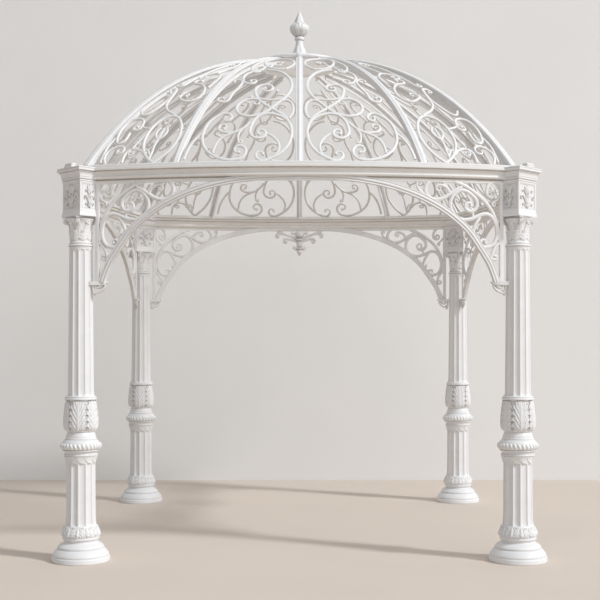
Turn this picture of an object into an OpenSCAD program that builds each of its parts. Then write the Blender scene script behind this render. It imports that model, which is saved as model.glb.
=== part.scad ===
// Garden gazebo of painted cast metal: four fluted columns on a square plan carry a ring beam whose
// sides bow outwards, arched scroll brackets below it and an openwork ribbed dome with a finial above it.
// Millimetres, +Z up, ground at z = 0. The columns stand at the corners of a square about the Z axis.

/* [Plan] */
// Spacing of the columns, centre to centre
bay = 2800; // [2700:20:2900]
// How far the middle of each side of the beam stands out beyond its ends
bow = 210; // [180:5:240]

/* [Columns] */
// Radius of the round foot on the ground
foot_r = 185; // [175:1:195]
// Flutes round each shaft
flutes = 12; // [10:1:14]
// Radius of the upper shaft at its foot
shaft_r_low = 83; // [80:1:86]
// Radius of the upper shaft below the capital
shaft_r_top = 74; // [71:1:77]
// Half depth of the corner block's die, towards the middle of the gazebo
block_deep = 72; // [70:1:74]
// Half width of the corner block's die, across its outer face
block_wide = 97; // [95:1:99]

/* [Beam] */
// Depth of the cornice moulding across the beam
beam_w = 96; // [88:1:104]
// Thickness of the strip and of the scrollwork below the beam
screen_t = 18; // [16:1:22]

/* [Arches] */
// Height of the shelf from which each arch springs
spring_z = 1784; // [1770:1:1800]
// Depth of the arched rib, seen from the front
arch_d = 32; // [28:1:36]
// Width of a scroll bar, seen from the front
scroll_w = 18; // [16:1:22]

/* [Dome] */
// Height of the dome from its base to the top of its ribs
dome_rise = 962; // [940:1:985]
// Radius of the crown ring at which the ribs meet
crown_r = 293; // [285:1:300]
// Width of a rib's flat bar
rib_w = 48; // [44:1:52]
// Thickness of a rib's flat bar
rib_t = 14; // [12:1:16]
// Depth of the web that stiffens a rib on its inner side
rib_web = 32; // [26:1:38]
// Width of a scroll bar in the dome, at its flat inner face
lace_w = 24; // [20:1:28]
// Height of a scroll bar in the dome, from its inner face to its ridge
lace_t = 16; // [14:1:18]

/* [Finial] */
// Height of the finial above the crown ring
finial_h = 338; // [320:1:350]

/* [Hidden] */
$fn = 64;
half = bay / 2;
flute_step = 360 / flutes;

// heights of the column's pieces
pedestal_top = 778;
vase_top = 1053;
shaft_top = 2005;
capital_top = 2198;
die_low = 2240;
die_top = 2435;
block_top = 2508;

// heights of the beam's mouldings
strip_low = 2405;
cornice_low = 2432;
beam_top = 2505;
dome_z = 2530;

// the bowed side in plan: one arc about a centre beyond the far side
bow_r = (half * half + bow * bow) / (2 * bow);
bow_y = half + bow - bow_r;
sill_r = bow_r - 32;
bow_turn = asin(half / bow_r) + 1;

// paint colours
paint = [0.93, 0.92, 0.89];

// ---- shapes used again and again ----

module at_corner(j) {
    rotate([0, 0, 90 * j])
        translate([-half, -half, 0])
            children();
}

module on_side(k) {
    rotate([0, 0, 90 * k])
        children();
}

module lathe(profile) {
    rotate_extrude()
        polygon(profile);
}

module square_plate(half_diag, z0, z1) {
    translate([0, 0, z0])
        rotate([0, 0, 45])
            linear_extrude(z1 - z0)
                square(half_diag * sqrt(2), center = true);
}

// one leaf of a ring of leaves: a slice of a turned profile that curls outwards at its tip
module leaf(profile, turn) {
    rotate([0, 0, -turn / 2])
        rotate_extrude(angle = turn)
            polygon(profile);
}

// a smooth curve through control points: steps points to each span
function curve_at(p, i, t) =
    let (n = len(p))
    let (a = p[max(i - 1, 0)], b = p[i], c = p[i + 1], d = p[min(i + 2, n - 1)])
    0.5 * (2 * b + (c - a) * t + (2 * a - 5 * b + 4 * c - d) * t * t
        + (3 * b - a - 3 * c + d) * t * t * t);
function curve(p, steps) = concat(
    [for (i = [0 : len(p) - 2], k = [0 : steps - 1]) curve_at(p, i, k / steps)],
    [p[len(p) - 1]]
);
function unit(v) = v / norm(v);
function tangent(p, i) = unit(p[min(i + 1, len(p) - 1)] - p[max(i - 1, 0)]);

// a flat bar of even width along a curve in the plane
module strip(p, w) {
    left = [for (i = [0 : len(p) - 1]) p[i] + w / 2 * [-tangent(p, i)[1], tangent(p, i)[0]]];
    right = [for (i = [len(p) - 1 : -1 : 0]) p[i] - w / 2 * [-tangent(p, i)[1], tangent(p, i)[0]]];
    polygon(concat(left, right));
}

// ---- column ----

module pedestal() {
    color(paint)
        union() {
            lathe([
                [0, 0], [foot_r, 0], [foot_r, 28], [foot_r - 6, 34], [171, 36], [174, 43], [174, 54],
                [170, 64], [162, 75], [155, 78], [156, 92], [152, 106], [145, 117], [136, 124],
                [126, 128], [113, 137], [109, 150], [111, 157], [117, 163], [117, 176],
                [123, 180], [124, 191], [118, 210], [106, 231], [0, 231],
            ]);
            difference() {
                lathe([[0, 225], [100, 225], [96, 245], [94, 290], [92, 619], [0, 619]]);
                for (i = [0 : flutes - 1])
                    rotate([0, 0, i * flute_step])
                        fluting(98, 96, 264, 596, 15);
            }
            lathe([
                [0, 615], [92, 615], [95, 640], [103, 676], [103, 680], [113, 684], [115, 694],
                [112, 704], [112, 712], [118, 716], [127, 725], [131, 738], [127, 752], [116, 766],
                [104, 776], [0, 778],
            ]);
            for (i = [0 : flutes - 1])
                rotate([0, 0, (i + 0.5) * flute_step])
                    leaf([[90, 625], [101, 625], [110, 655], [112, 676], [90, 678]], 20);
            for (i = [0 : flutes - 1])
                rotate([0, 0, i * flute_step])
                    leaf([[116, 178], [126, 180], [128, 192], [122, 211], [109, 230], [100, 230]], 22);
        }
}

// a round-ended groove that leans with the taper of the shaft
module fluting(r_low, r_top, z0, z1, groove_r) {
    lean = atan2(r_low - r_top, z1 - z0);
    translate([r_low, 0, z0])
        rotate([0, -lean, 0]) {
            cylinder(h = (z1 - z0) / cos(lean), r = groove_r);
            sphere(groove_r);
            translate([0, 0, (z1 - z0) / cos(lean)])
                sphere(groove_r);
        }
}

module shaft() {
    color(paint)
        union() {
            lathe([
                [0, 778], [104, 778], [98, 786], [88, 800], [85, 818], [88, 833], [98, 842],
                [109, 862], [113, 888], [112, 920], [106, 965], [100, 1010], [98, 1030], [102, 1034],
                [103, 1042], [102, 1050], [97, vase_top], [0, vase_top],
            ]);
            for (i = [0 : 7])
                rotate([0, 0, i * 45 + 22.5])
                    leaf([
                        [95, 845], [114, 848], [121, 880], [120, 930], [117, 980], [122, 1010],
                        [118, 1020], [108, 1012], [100, 975], [96, 900],
                    ], 26);
            difference() {
                lathe([
                    [0, 1050], [92, 1050], [86, 1066], [shaft_r_low, 1090],
                    [shaft_r_top, shaft_top], [0, shaft_top],
                ]);
                for (i = [0 : flutes - 1])
                    rotate([0, 0, i * flute_step])
                        fluting(shaft_r_low + 3, shaft_r_top + 4, 1105, 1978, 13);
            }
        }
}

module capital() {
    volute_r = 19;
    color(paint)
        union() {
            lathe([
                [0, shaft_top], [shaft_r_top, shaft_top], [79, 2008], [80, 2016], [78, 2024],
                [72, 2028], [70, 2036], [66, 2041], [66, 2100], [72, 2140], [86, 2172], [90, 2180],
                [90, 2186], [0, 2186],
            ]);
            for (i = [0 : 7])
                rotate([0, 0, i * 45 + 22.5])
                    leaf([
                        [62, 2041], [76, 2044], [80, 2080], [86, 2100], [84, 2112], [76, 2108],
                        [72, 2085], [64, 2070],
                    ], 30);
            for (i = [0 : 3])
                rotate([0, 0, i * 90 + 45])
                    leaf([
                        [62, 2100], [78, 2104], [84, 2136], [94, 2156], [92, 2168], [82, 2164],
                        [74, 2144], [64, 2130],
                    ], 34);
            for (i = [0 : 3])
                rotate([0, 0, i * 90])
                    translate([92, 0, 2160])
                        rotate([90, 0, 0]) {
                            cylinder(h = 26, r = volute_r, center = true);
                            cylinder(h = 34, r = volute_r / 2, center = true);
                        }
            difference() {
                square_plate(120, 2178, capital_top);
                for (i = [0 : 3])
                    rotate([0, 0, i * 90 + 45])
                        translate([222, 0, 2170])
                            cylinder(h = 40, r = 150);
            }
        }
}

// ---- corner block: die with framed panels, cornice and a small cap ----

module block() {
    frame_w = 16;
    panel_z = (die_low + die_top) / 2;
    panel_h = die_top - die_low - 2 * frame_w;
    cap_out = 54;
    color(paint)
        union() {
            block_plate(5, capital_top, capital_top + 16);
            block_plate(8, capital_top + 16, capital_top + 32);
            block_plate(3, capital_top + 32, die_low);
            difference() {
                block_plate(0, die_low, die_top);
                for (i = [0 : 3])
                    rotate([0, 0, i * 90 + 45])
                        translate([face_out(i), 0, panel_z])
                            cube([12, 2 * (face_out(i + 1) - frame_w), panel_h], center = true);
            }
            for (i = [0 : 3])
                rotate([0, 0, i * 90 + 45])
                    translate([face_out(i) - 7, 0, panel_z])
                        rotate([90, 0, 90])
                            linear_extrude(9)
                                fleur(1);
            block_plate(5, die_top, die_top + 12);
            block_plate(11, die_top + 12, die_top + 26);
            block_plate(19, die_top + 26, die_top + 46);
            block_plate(28, die_top + 46, block_top);
            translate([-cap_out, -cap_out, 0]) {
                oblong(22, 42, block_top, block_top + 13);
                oblong(17, 37, block_top + 13, block_top + 26);
            }
        }
}

// an oblong plate, its half depth taken towards the middle of the gazebo
module oblong(deep, wide, z0, z1) {
    translate([0, 0, z0])
        rotate([0, 0, 45])
            linear_extrude(z1 - z0)
                square([2 * deep, 2 * wide], center = true);
}

// a plate that stands out of the die by the same step all round
module block_plate(out, z0, z1) {
    oblong(block_deep + out, block_wide + out, z0, z1);
}

// how far the block's face number i stands from the axis: the faces alternate
function face_out(i) = i % 2 == 0 ? block_deep : block_wide;

// a stylised flower of five petals on a stalk, drawn about its middle
module fleur(size) {
    offset(delta = 2 * size)
        offset(delta = -2 * size)
            for (side = [-1, 1]) {
                strip(curve([[0, -66], [side * 5, -30], [side * 18, -4], [side * 36, 12],
                    [side * 44, 32], [side * 34, 44], [side * 24, 36]] * size, 1), 13 * size);
                strip(curve([[0, -40], [side * 20, -44], [side * 38, -34], [side * 44, -18],
                    [side * 34, -10]] * size, 1), 12 * size);
                polygon([[0, -66], [side * 14, 0], [side * 14, 32], [0, 68]] * size);
            }
}

// ---- ring beam ----

// what the dies of the corner blocks take up of a side's two ends
module corner_room() {
    for (side = [-1, 1])
        translate([side * half, -half, 0])
            rotate([0, 0, side < 0 ? 0 : 90])
                block_plate(0, capital_top, block_top);
}

// a ring slice about the side's plan centre, from corner to corner
module bowed(profile) {
    translate([0, -bow_y, 0])
        rotate([0, 0, -90 - bow_turn])
            rotate_extrude(angle = 2 * bow_turn, $fn = 360)
                polygon(profile);
}

module beam() {
    out = bow_r + beam_w / 2;
    color(paint)
        difference() {
            intersection() {
                bowed([
                    [bow_r - 9, strip_low], [bow_r + 9, strip_low], [bow_r + 9, cornice_low - 6],
                    [bow_r + 14, cornice_low - 6], [bow_r + 14, cornice_low],
                    [out - 26, cornice_low], [out - 24, cornice_low + 12], [out - 18, cornice_low + 20],
                    [out - 18, cornice_low + 28], [out - 8, cornice_low + 40],
                    [out - 2, cornice_low + 52], [out, cornice_low + 56], [out, beam_top],
                    [sill_r + 30, beam_top], [sill_r + 30, dome_z], [sill_r - 30, dome_z],
                    [sill_r - 30, beam_top], [bow_r - beam_w / 2, beam_top],
                    [bow_r - beam_w / 2, cornice_low + 56], [bow_r - beam_w / 2 + 8, cornice_low + 40],
                    [bow_r - beam_w / 2 + 18, cornice_low + 26],
                    [bow_r - beam_w / 2 + 22, cornice_low], [bow_r - 14, cornice_low],
                    [bow_r - 14, cornice_low - 6], [bow_r - 9, cornice_low - 6],
                ]);
                beam_wedge();
            }
            corner_room();
        }
}

// the quarter of the plan that belongs to one side
module beam_wedge() {
    far = 3 * half;
    linear_extrude(dome_z + 100)
        polygon([[0, 0], [-far, -far], [far, -far]]);
}

// ---- arched brackets ----

// the arch from its springing to its crown, as distance from the column's axis and height
arch_line = [
    [140, spring_z - 4], [190, 1908], [250, 1998], [317, 2094], [400, 2172], [510, 2250],
    [640, 2316], [775, 2364], [910, 2398], [1100, 2425], [half, 2438],
];
bracket_scrolls = [
    // the large S from its eye in the big circle to its eye in the lower circle
    [[338, 2262], [316, 2232], [285, 2258], [290, 2312], [340, 2350], [400, 2348], [441, 2300],
        [440, 2235], [404, 2188], [350, 2172], [290, 2192], [232, 2220], [178, 2205], [146, 2150],
        [142, 2085], [166, 2034], [206, 2022], [236, 2052], [228, 2088], [200, 2090]],
    // the upper S along the arch
    [[516, 2352], [540, 2388], [592, 2390], [612, 2350], [588, 2310], [540, 2300], [484, 2318],
        [440, 2352], [390, 2376]],
    // the long arc from the beam to the upright
    [[470, 2412], [390, 2392], [310, 2354], [240, 2300], [185, 2235], [150, 2150], [140, 2060]],
    // the leaf inside the lower circle
    [[258, 2192], [290, 2140], [296, 2085], [284, 2052]],
    // the corner scroll under the beam
    [[165, 2380], [182, 2404], [208, 2388], [206, 2352], [176, 2330], [118, 2332]],
    // the hook at the foot
    [[134, 2034], [168, 1992], [178, 1952], [160, 1926], [132, 1940]],
    // the ties from the upper S to the beam
    [[600, 2370], [640, 2352], [650, 2380], [640, 2412]],
];

// the bracket on the left of a side, seen from outside, in elevation
module bracket_outline() {
    intersection() {
        offset(delta = 0.5)
            offset(delta = -0.5)
                union() {
                    strip(curve(arch_line, 2), arch_d);
                    for (scroll = bracket_scrolls)
                        strip(curve(scroll, 2), scroll_w);
                    translate([100, spring_z])
                        square([27, strip_low - spring_z]);
                }
        translate([90, spring_z - 4])
            square([half - 90, strip_low - spring_z + 4]);
    }
}

module spandrel() {
    color(paint)
        union() {
            intersection() {
                translate([-half, 0, 0])
                    rotate([90, 0, 0])
                        linear_extrude(2 * half)
                            bracket_outline();
                bowed([
                    [bow_r - screen_t / 2, spring_z - 60], [bow_r + screen_t / 2, spring_z - 60],
                    [bow_r + screen_t / 2, strip_low + 10], [bow_r - screen_t / 2, strip_low + 10],
                ]);
            }
            corbel();
        }
}

// the moulded shelf and the curled bracket that carry the arch's foot on the shaft
module corbel() {
    translate([-half, -half, 0])
        difference() {
            union() {
                translate([70, -48, spring_z - 12])
                    cube([88, 60, 12]);
                translate([70, -44, spring_z - 22])
                    cube([80, 52, 10]);
                translate([0, -4, 0])
                    rotate([90, 0, 0])
                        linear_extrude(30)
                            corbel_scroll();
            }
            cylinder(h = 3000, r = shaft_r_low - 7);
        }
}

module corbel_scroll() {
    offset(delta = 0.5)
        offset(delta = -0.5)
            union() {
                strip(curve([[146, 1764], [138, 1736], [116, 1712], [92, 1702], [70, 1700]], 4), 12);
                strip(curve([[130, 1764], [118, 1744], [104, 1748], [106, 1760]], 4), 10);
                strip([[70, 1766], [146, 1766]], 10);
                translate([70, 1694])
                    square([12, 72]);
            }
}

// ---- pendant under the middle of a side ----

module pendant() {
    color(paint)
        translate([0, -half - bow, 0])
            union() {
                lathe([
                    [0, 2192], [6, 2204], [13, 2222], [11, 2240], [22, 2248], [22, 2256],
                    [12, 2262], [16, 2290], [12, 2306], [18, 2316], [18, 2322], [14, 2328],
                    [24, 2350], [31, 2372], [28, 2392], [18, strip_low], [0, strip_low],
                ]);
                translate([0, screen_t / 2, 0])
                    rotate([90, 0, 0])
                        linear_extrude(screen_t)
                            pendant_arms();
            }
}

// the arms on one side of the drop: offset from it, height
pendant_scrolls = [
    [[10, 2330], [50, 2352], [100, 2364], [150, 2382], [196, 2399]],
    [[10, 2318], [60, 2330], [105, 2336], [126, 2318], [112, 2302], [98, 2312]],
    [[150, 2382], [196, 2372], [206, 2350], [190, 2344]],
    [[0, 2240], [26, 2246], [40, 2262], [30, 2274]],
    [[14, 2386], [36, 2378], [50, 2388], [48, 2399]],
];

module pendant_arms() {
    offset(delta = 0.5)
        offset(delta = -0.5)
            for (side = [-1, 1], scroll = pendant_scrolls)
                strip(curve([for (p = scroll) [side * p[0], p[1]]], 2), 14);
}

// ---- dome ----

// plan radius of the dome's base at an azimuth from the middle of its side
function base_r(az) = cos(az) * bow_y + sqrt(sill_r * sill_r - pow(bow_y * sin(az), 2));
// every rib is an arc about a centre on the dome's own axis, this far below the base
function centre_drop(az) =
    (pow(base_r(az), 2) - pow(crown_r, 2) - pow(dome_rise, 2)) / (2 * dome_rise);
function arc_r(az) = norm([base_r(az), centre_drop(az)]);
function arc_start(az) = atan2(centre_drop(az), base_r(az));
function arc_end(az) = acos(crown_r / arc_r(az));
// plan radius at a distance up the rib
function plan_r(az, up) = arc_r(az) * cos(arc_start(az) + up / arc_r(az) * 180 / PI);
// a point of the dome's surface, lifted off it by lift
function dome_point(az, up, lift = 0) =
    let (turn = arc_start(az) + up / arc_r(az) * 180 / PI, r = arc_r(az) + lift)
    [
        r * cos(turn) * sin(az), -r * cos(turn) * cos(az),
        dome_z - centre_drop(az) + r * sin(turn),
    ];
// azimuth of a point that lies along from the rib at az0, at a distance up
function azimuth(az0, along, up) =
    let (first = az0 + along / plan_r(az0, up) * 180 / PI)
    az0 + along / plan_r(first, up) * 180 / PI;
mid_az = 27.5;

module rib(az, w) {
    mid = arc_r(az);
    rotate([0, 0, az - 90])
        translate([0, 0, dome_z - centre_drop(az)])
            rotate([90, 0, 0])
                rotate([0, 0, arc_start(az)])
                    rotate_extrude(angle = arc_end(az) - arc_start(az), $fn = 128)
                        polygon([
                            [mid - rib_t / 2, -w / 2], [mid + rib_t / 2, -w / 2],
                            [mid + rib_t / 2, -w / 5], [mid + rib_t, -w / 8], [mid + rib_t, w / 8],
                            [mid + rib_t / 2, w / 5], [mid + rib_t / 2, w / 2],
                            [mid - rib_t / 2, w / 2],
                            [mid - rib_t / 2, rib_t / 2], [mid - rib_t / 2 - rib_web, rib_t / 2],
                            [mid - rib_t / 2 - rib_web, -rib_t / 2], [mid - rib_t / 2, -rib_t / 2],
                        ]);
}

module side_ribs() {
    color(paint)
        for (az = [-mid_az, 0, mid_az])
            rib(az, rib_w);
}

module hip_rib() {
    color(paint)
        rib(-45, rib_w + 8);
}

// scrolls between the middle rib and the next: distance along from the middle rib, distance up it
inner_lace = [
    // the large C at the foot, from its eye to its hooked tail
    [[238, 242], [200, 220], [246, 168], [310, 214], [290, 345], [240, 398], [172, 406],
        [94, 366], [42, 245], [72, 108], [126, 46], [190, 16], [262, 36], [252, 94]],
    // the S that crosses over to the upper circle
    [[48, 320], [90, 395], [222, 500], [272, 575], [290, 665], [270, 762], [222, 798],
        [170, 740], [208, 665]],
    // the upper C from below the oval round to the right-hand curl
    [[215, 1010], [130, 962], [64, 840], [50, 670], [86, 585], [140, 510], [200, 432],
        [270, 390], [345, 390], [412, 460], [372, 548], [300, 556], [318, 488]],
    // the loop beside the rib
    [[160, 476], [118, 538], [66, 540], [38, 480], [38, 410], [64, 356]],
    // the S on the right of the large C
    [[312, 300], [352, 280], [400, 246], [470, 236], [526, 285], [496, 328]],
    // the C along the next rib
    [[428, 98], [436, 140], [388, 152], [348, 100], [410, 12], [490, 18], [560, 50],
        [616, 112], [638, 230], [600, 345], [545, 412], [470, 424], [426, 375], [452, 330]],
    // the oval below the crown
    [[100, 1012], [40, 1120], [56, 1250], [150, 1382], [218, 1340], [246, 1200], [180, 1030],
        [88, 1022]],
    // the tall S beside the next rib
    [[440, 700], [505, 680], [514, 765], [430, 805], [356, 825], [312, 910], [336, 1005],
        [392, 1005]],
    [[250, 1180], [310, 1090], [380, 1095], [350, 1190], [280, 1300], [180, 1460]],
];

// scrolls between that rib and the hip: distance along from the rib at mid_az, distance up it
outer_lace = [
    // the tall oval
    [[126, 6], [66, 80], [34, 200], [56, 340], [150, 442], [232, 376], [252, 230], [228, 122],
        [182, 48], [118, 12]],
    // the flower in it
    [[130, 20], [138, 96], [124, 160], [148, 236], [188, 196], [144, 70]],
    // the low scrolls beside the hip
    [[182, 50], [236, 104], [300, 130], [342, 96], [342, 18]],
    [[458, 4], [488, 68], [470, 136], [406, 156], [352, 112], [374, 70]],
    // the hooked C up the hip
    [[322, 296], [334, 360], [378, 444], [440, 424], [474, 340], [464, 246], [422, 186],
        [392, 236], [412, 300]],
    [[252, 300], [290, 274], [340, 292]],
    // the S bars over the oval
    [[180, 400], [228, 510], [266, 600], [252, 696], [198, 704]],
    [[122, 412], [74, 560], [44, 680], [60, 800], [130, 876], [198, 846], [172, 790]],
    [[426, 450], [340, 540], [300, 680], [328, 790], [290, 868], [248, 846]],
    // the upper S bars
    [[36, 860], [64, 960], [140, 1030], [212, 1010], [204, 950]],
    [[110, 1010], [50, 1170], [110, 1296], [132, 1230]],
    [[240, 930], [206, 1090], [130, 1360], [70, 1490]],
];

// a ridged scroll bar laid on the dome, each a little proud of the one before it where they cross
weave = 1.7;
module lace_bar(line, az0, flip, layer) {
    spots = [for (p = line) [azimuth(az0, p[0], p[1]), p[1]]];
    mid = [for (s = spots) dome_point(s[0], s[1])];
    up = [for (s = spots) unit(dome_point(s[0], s[1], 10) - dome_point(s[0], s[1]))];
    n = len(mid);
    side = [for (i = [0 : n - 1]) unit(cross(tangent(mid, i), up[i]))];
    rings = [
        for (i = [0 : n - 1], c = [[-1, -1], [1, -1], [0, 1]])
            mid[i] + side[i] * c[0] * lace_w / 2 + up[i] * (c[1] * lace_t / 2 + layer * weave)
    ];
    walls = [
        for (i = [0 : n - 2], k = [0 : 2])
            each [
                [3 * i + k, 3 * i + (k + 1) % 3, 3 * i + 3 + k],
                [3 * i + (k + 1) % 3, 3 * i + 3 + (k + 1) % 3, 3 * i + 3 + k],
            ]
    ];
    ends = [[2, 1, 0], [3 * n - 3, 3 * n - 2, 3 * n - 1]];
    mirror([flip, 0, 0])
        polyhedron(rings, concat(walls, ends));
}

// a raised button on the eye of a scroll
module button(point, az0, flip) {
    az = azimuth(az0, point[0], point[1]);
    tip = arc_start(az) + point[1] / arc_r(az) * 180 / PI;
    mirror([flip, 0, 0])
        translate(dome_point(az, point[1], -lace_t / 2))
            rotate([0, 0, az - 90])
                rotate([0, 90 - tip, 0])
                    hull()
                        cylinder(h = lace_t, r = lace_w * 0.8, $fn = 5);
}

module lace() {
    color(paint)
        union()
            for (flip = [0, 1]) {
                for (i = [0 : len(inner_lace) - 1])
                    lace_bar(inner_lace[i], 0, flip, i % 4);
                for (i = [0 : len(outer_lace) - 1])
                    lace_bar(outer_lace[i], mid_az, flip, i % 4);
                for (i = [0, 5])
                    button(inner_lace[i][0], 0, flip);
                for (i = [1, 2])
                    button(inner_lace[i][len(inner_lace[i]) - 1], 0, flip);
            }
}

// ---- crown ring and finial ----

crown_z = dome_z + dome_rise;

module crown_ring() {
    color(paint)
        lathe([
            [0, crown_z + 70], [50, crown_z + 68], [130, crown_z + 54], [200, crown_z + 42],
            [252, crown_z + 26], [264, crown_z + 10], [284, crown_z - 6], [284, crown_z - 30],
            [300, crown_z - 30], [312, crown_z - 22], [312, crown_z + 2], [300, crown_z + 12],
            [270, crown_z + 28], [262, crown_z + 44], [200, crown_z + 62], [130, crown_z + 72],
            [60, crown_z + 84], [52, crown_z + 96], [0, crown_z + 98],
        ]);
}

module finial() {
    z = crown_z + 96;
    u = finial_h / 300;
    color(paint)
        union() {
            lathe([
                [0, z], [50, z], [50, z + 8 * u], [34, z + 20 * u], [26, z + 40 * u],
                [28, z + 62 * u], [40, z + 70 * u], [43, z + 78 * u], [40, z + 86 * u],
                [27, z + 92 * u], [26, z + 100 * u], [44, z + 110 * u], [66, z + 128 * u],
                [74, z + 150 * u], [70, z + 172 * u], [58, z + 190 * u], [44, z + 200 * u],
                [40, z + 214 * u], [30, z + 240 * u], [16, z + 272 * u], [5, z + 294 * u],
                [0, z + 300 * u],
            ]);
            for (i = [0 : 7])
                rotate([0, 0, i * 45])
                    leaf([
                        [40, z + 108 * u], [60, z + 116 * u], [78, z + 150 * u], [72, z + 186 * u],
                        [60, z + 206 * u], [50, z + 204 * u], [50, z + 180 * u],
                    ], 24);
        }
}

// ---- the nodes ----

at_corner(0) pedestal();  // pedestal_front_left
at_corner(1) pedestal();  // pedestal_front_right
at_corner(2) pedestal();  // pedestal_back_right
at_corner(3) pedestal();  // pedestal_back_left
at_corner(0) shaft();  // shaft_front_left
at_corner(1) shaft();  // shaft_front_right
at_corner(2) shaft();  // shaft_back_right
at_corner(3) shaft();  // shaft_back_left
at_corner(0) capital();  // capital_front_left
at_corner(1) capital();  // capital_front_right
at_corner(2) capital();  // capital_back_right
at_corner(3) capital();  // capital_back_left
at_corner(0) block();  // block_front_left
at_corner(1) block();  // block_front_right
at_corner(2) block();  // block_back_right
at_corner(3) block();  // block_back_left
on_side(0) beam();  // beam_front
on_side(1) beam();  // beam_right
on_side(2) beam();  // beam_back
on_side(3) beam();  // beam_left
on_side(0) spandrel();  // spandrel_front_left
on_side(0) mirror([1, 0, 0]) spandrel();  // spandrel_front_right
on_side(1) spandrel();  // spandrel_right_front
on_side(1) mirror([1, 0, 0]) spandrel();  // spandrel_right_back
on_side(2) spandrel();  // spandrel_back_right
on_side(2) mirror([1, 0, 0]) spandrel();  // spandrel_back_left
on_side(3) spandrel();  // spandrel_left_back
on_side(3) mirror([1, 0, 0]) spandrel();  // spandrel_left_front
on_side(2) pendant();  // pendant_back
on_side(1) pendant();  // pendant_right
on_side(3) pendant();  // pendant_left
on_side(0) hip_rib();  // hip_rib_front_left
on_side(1) hip_rib();  // hip_rib_front_right
on_side(2) hip_rib();  // hip_rib_back_right
on_side(3) hip_rib();  // hip_rib_back_left
on_side(0) side_ribs();  // ribs_front
on_side(1) side_ribs();  // ribs_right
on_side(2) side_ribs();  // ribs_back
on_side(3) side_ribs();  // ribs_left
on_side(0) lace();  // lace_front
on_side(1) lace();  // lace_right
on_side(2) lace();  // lace_back
on_side(3) lace();  // lace_left
crown_ring();
finial();
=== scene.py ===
# %% [markdown]
# # A garden gazebo of white castings
# This lesson dresses a finished model of an open garden gazebo: four fluted columns, a bowed
# ring beam, arches filled with scrollwork, and an openwork dome with a bud on top. The plain
# model gives every level and every axis. Each casting is made again here with its leaves,
# flutes, mouldings and rounded bars, in exactly the same place.

# %% Load the plain model
import math
import bmesh
import bpy
from mathutils import Euler, Matrix, Vector


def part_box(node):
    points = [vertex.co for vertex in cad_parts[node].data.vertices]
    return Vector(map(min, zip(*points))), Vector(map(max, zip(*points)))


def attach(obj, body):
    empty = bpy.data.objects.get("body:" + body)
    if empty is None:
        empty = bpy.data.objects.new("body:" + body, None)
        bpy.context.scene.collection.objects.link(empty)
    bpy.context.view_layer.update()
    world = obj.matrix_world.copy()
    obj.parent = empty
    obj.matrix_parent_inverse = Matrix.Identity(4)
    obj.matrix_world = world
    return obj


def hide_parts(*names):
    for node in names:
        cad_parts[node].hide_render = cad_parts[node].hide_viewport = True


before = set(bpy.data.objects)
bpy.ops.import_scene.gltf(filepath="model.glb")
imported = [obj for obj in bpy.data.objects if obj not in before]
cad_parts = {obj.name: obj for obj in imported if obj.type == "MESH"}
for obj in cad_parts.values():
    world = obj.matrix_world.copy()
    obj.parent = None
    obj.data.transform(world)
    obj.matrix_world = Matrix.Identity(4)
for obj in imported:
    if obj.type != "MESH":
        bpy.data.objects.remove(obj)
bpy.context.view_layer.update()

# %% [markdown]
# ## Levels read from the plain model
# A casting that is a few millimetres off its neighbour shows a gap or a step, so the levels
# and axes are measured on the model's own nodes and not typed in. Lengths are kept in
# millimetres, as on a founder's drawing, and become metres when a mesh is made.

# %% Levels and the plan
MM = 0.001
CORNERS = ["front_left", "front_right", "back_right", "back_left"]
SIDES = ["front", "right", "back", "left"]
pedestal_low, pedestal_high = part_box("pedestal_front_left")
block_low, block_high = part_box("block_front_left")
beam_low, beam_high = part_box("beam_front")
crown_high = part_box("crown_ring")[1]
finial_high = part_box("finial")[1]
HALF = -500 * (pedestal_low.x + pedestal_high.x)
FOOT_R = 500 * (pedestal_high.x - pedestal_low.x)
SHAFT_TOP = 1000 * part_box("capital_front_left")[0].z
BLOCK_LOW = 1000 * block_low.z
CAP_TOP = 1000 * block_high.z
STRIP_LOW = 1000 * beam_low.z
DOME_Z = 1000 * beam_high.z
BULGE = 210
BOW_R = (HALF ** 2 + BULGE ** 2) / (2 * BULGE)
BOW_Y = HALF + BULGE - BOW_R
HUB_HIGH = 98
CROWN_Z = 1000 * crown_high.z - HUB_HIGH
TIP_Z = 1000 * finial_high.z
print("half the column spacing", round(HALF), "beam from", round(STRIP_LOW), "to", round(DOME_Z))
print("crown at", round(CROWN_Z), "tip at", round(TIP_Z))

# %% [markdown]
# ## Camera
# A camera belongs early in a script: every later choice of how fine a piece must be depends
# on how large it is seen. This one stands on the front axis at eye height, level, with a
# small upward shift of the lens instead of a tilt, so that the columns stay parallel.

# %% Camera
lens = bpy.data.cameras.new("camera")
lens.sensor_width = 36
lens.lens = 69.1
lens.shift_x = 0.001
lens.shift_y = 0.075
STAND_BACK = 8.78
EYE_HIGH = 1.38
camera = bpy.data.objects.new("camera", lens)
camera.location = (0, -STAND_BACK, EYE_HIGH)
camera.rotation_euler = (math.radians(90), 0, 0)
bpy.context.scene.collection.objects.link(camera)
bpy.context.scene.camera = camera
print("camera", STAND_BACK, "m in front of the middle, at", EYE_HIGH, "m")
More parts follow.
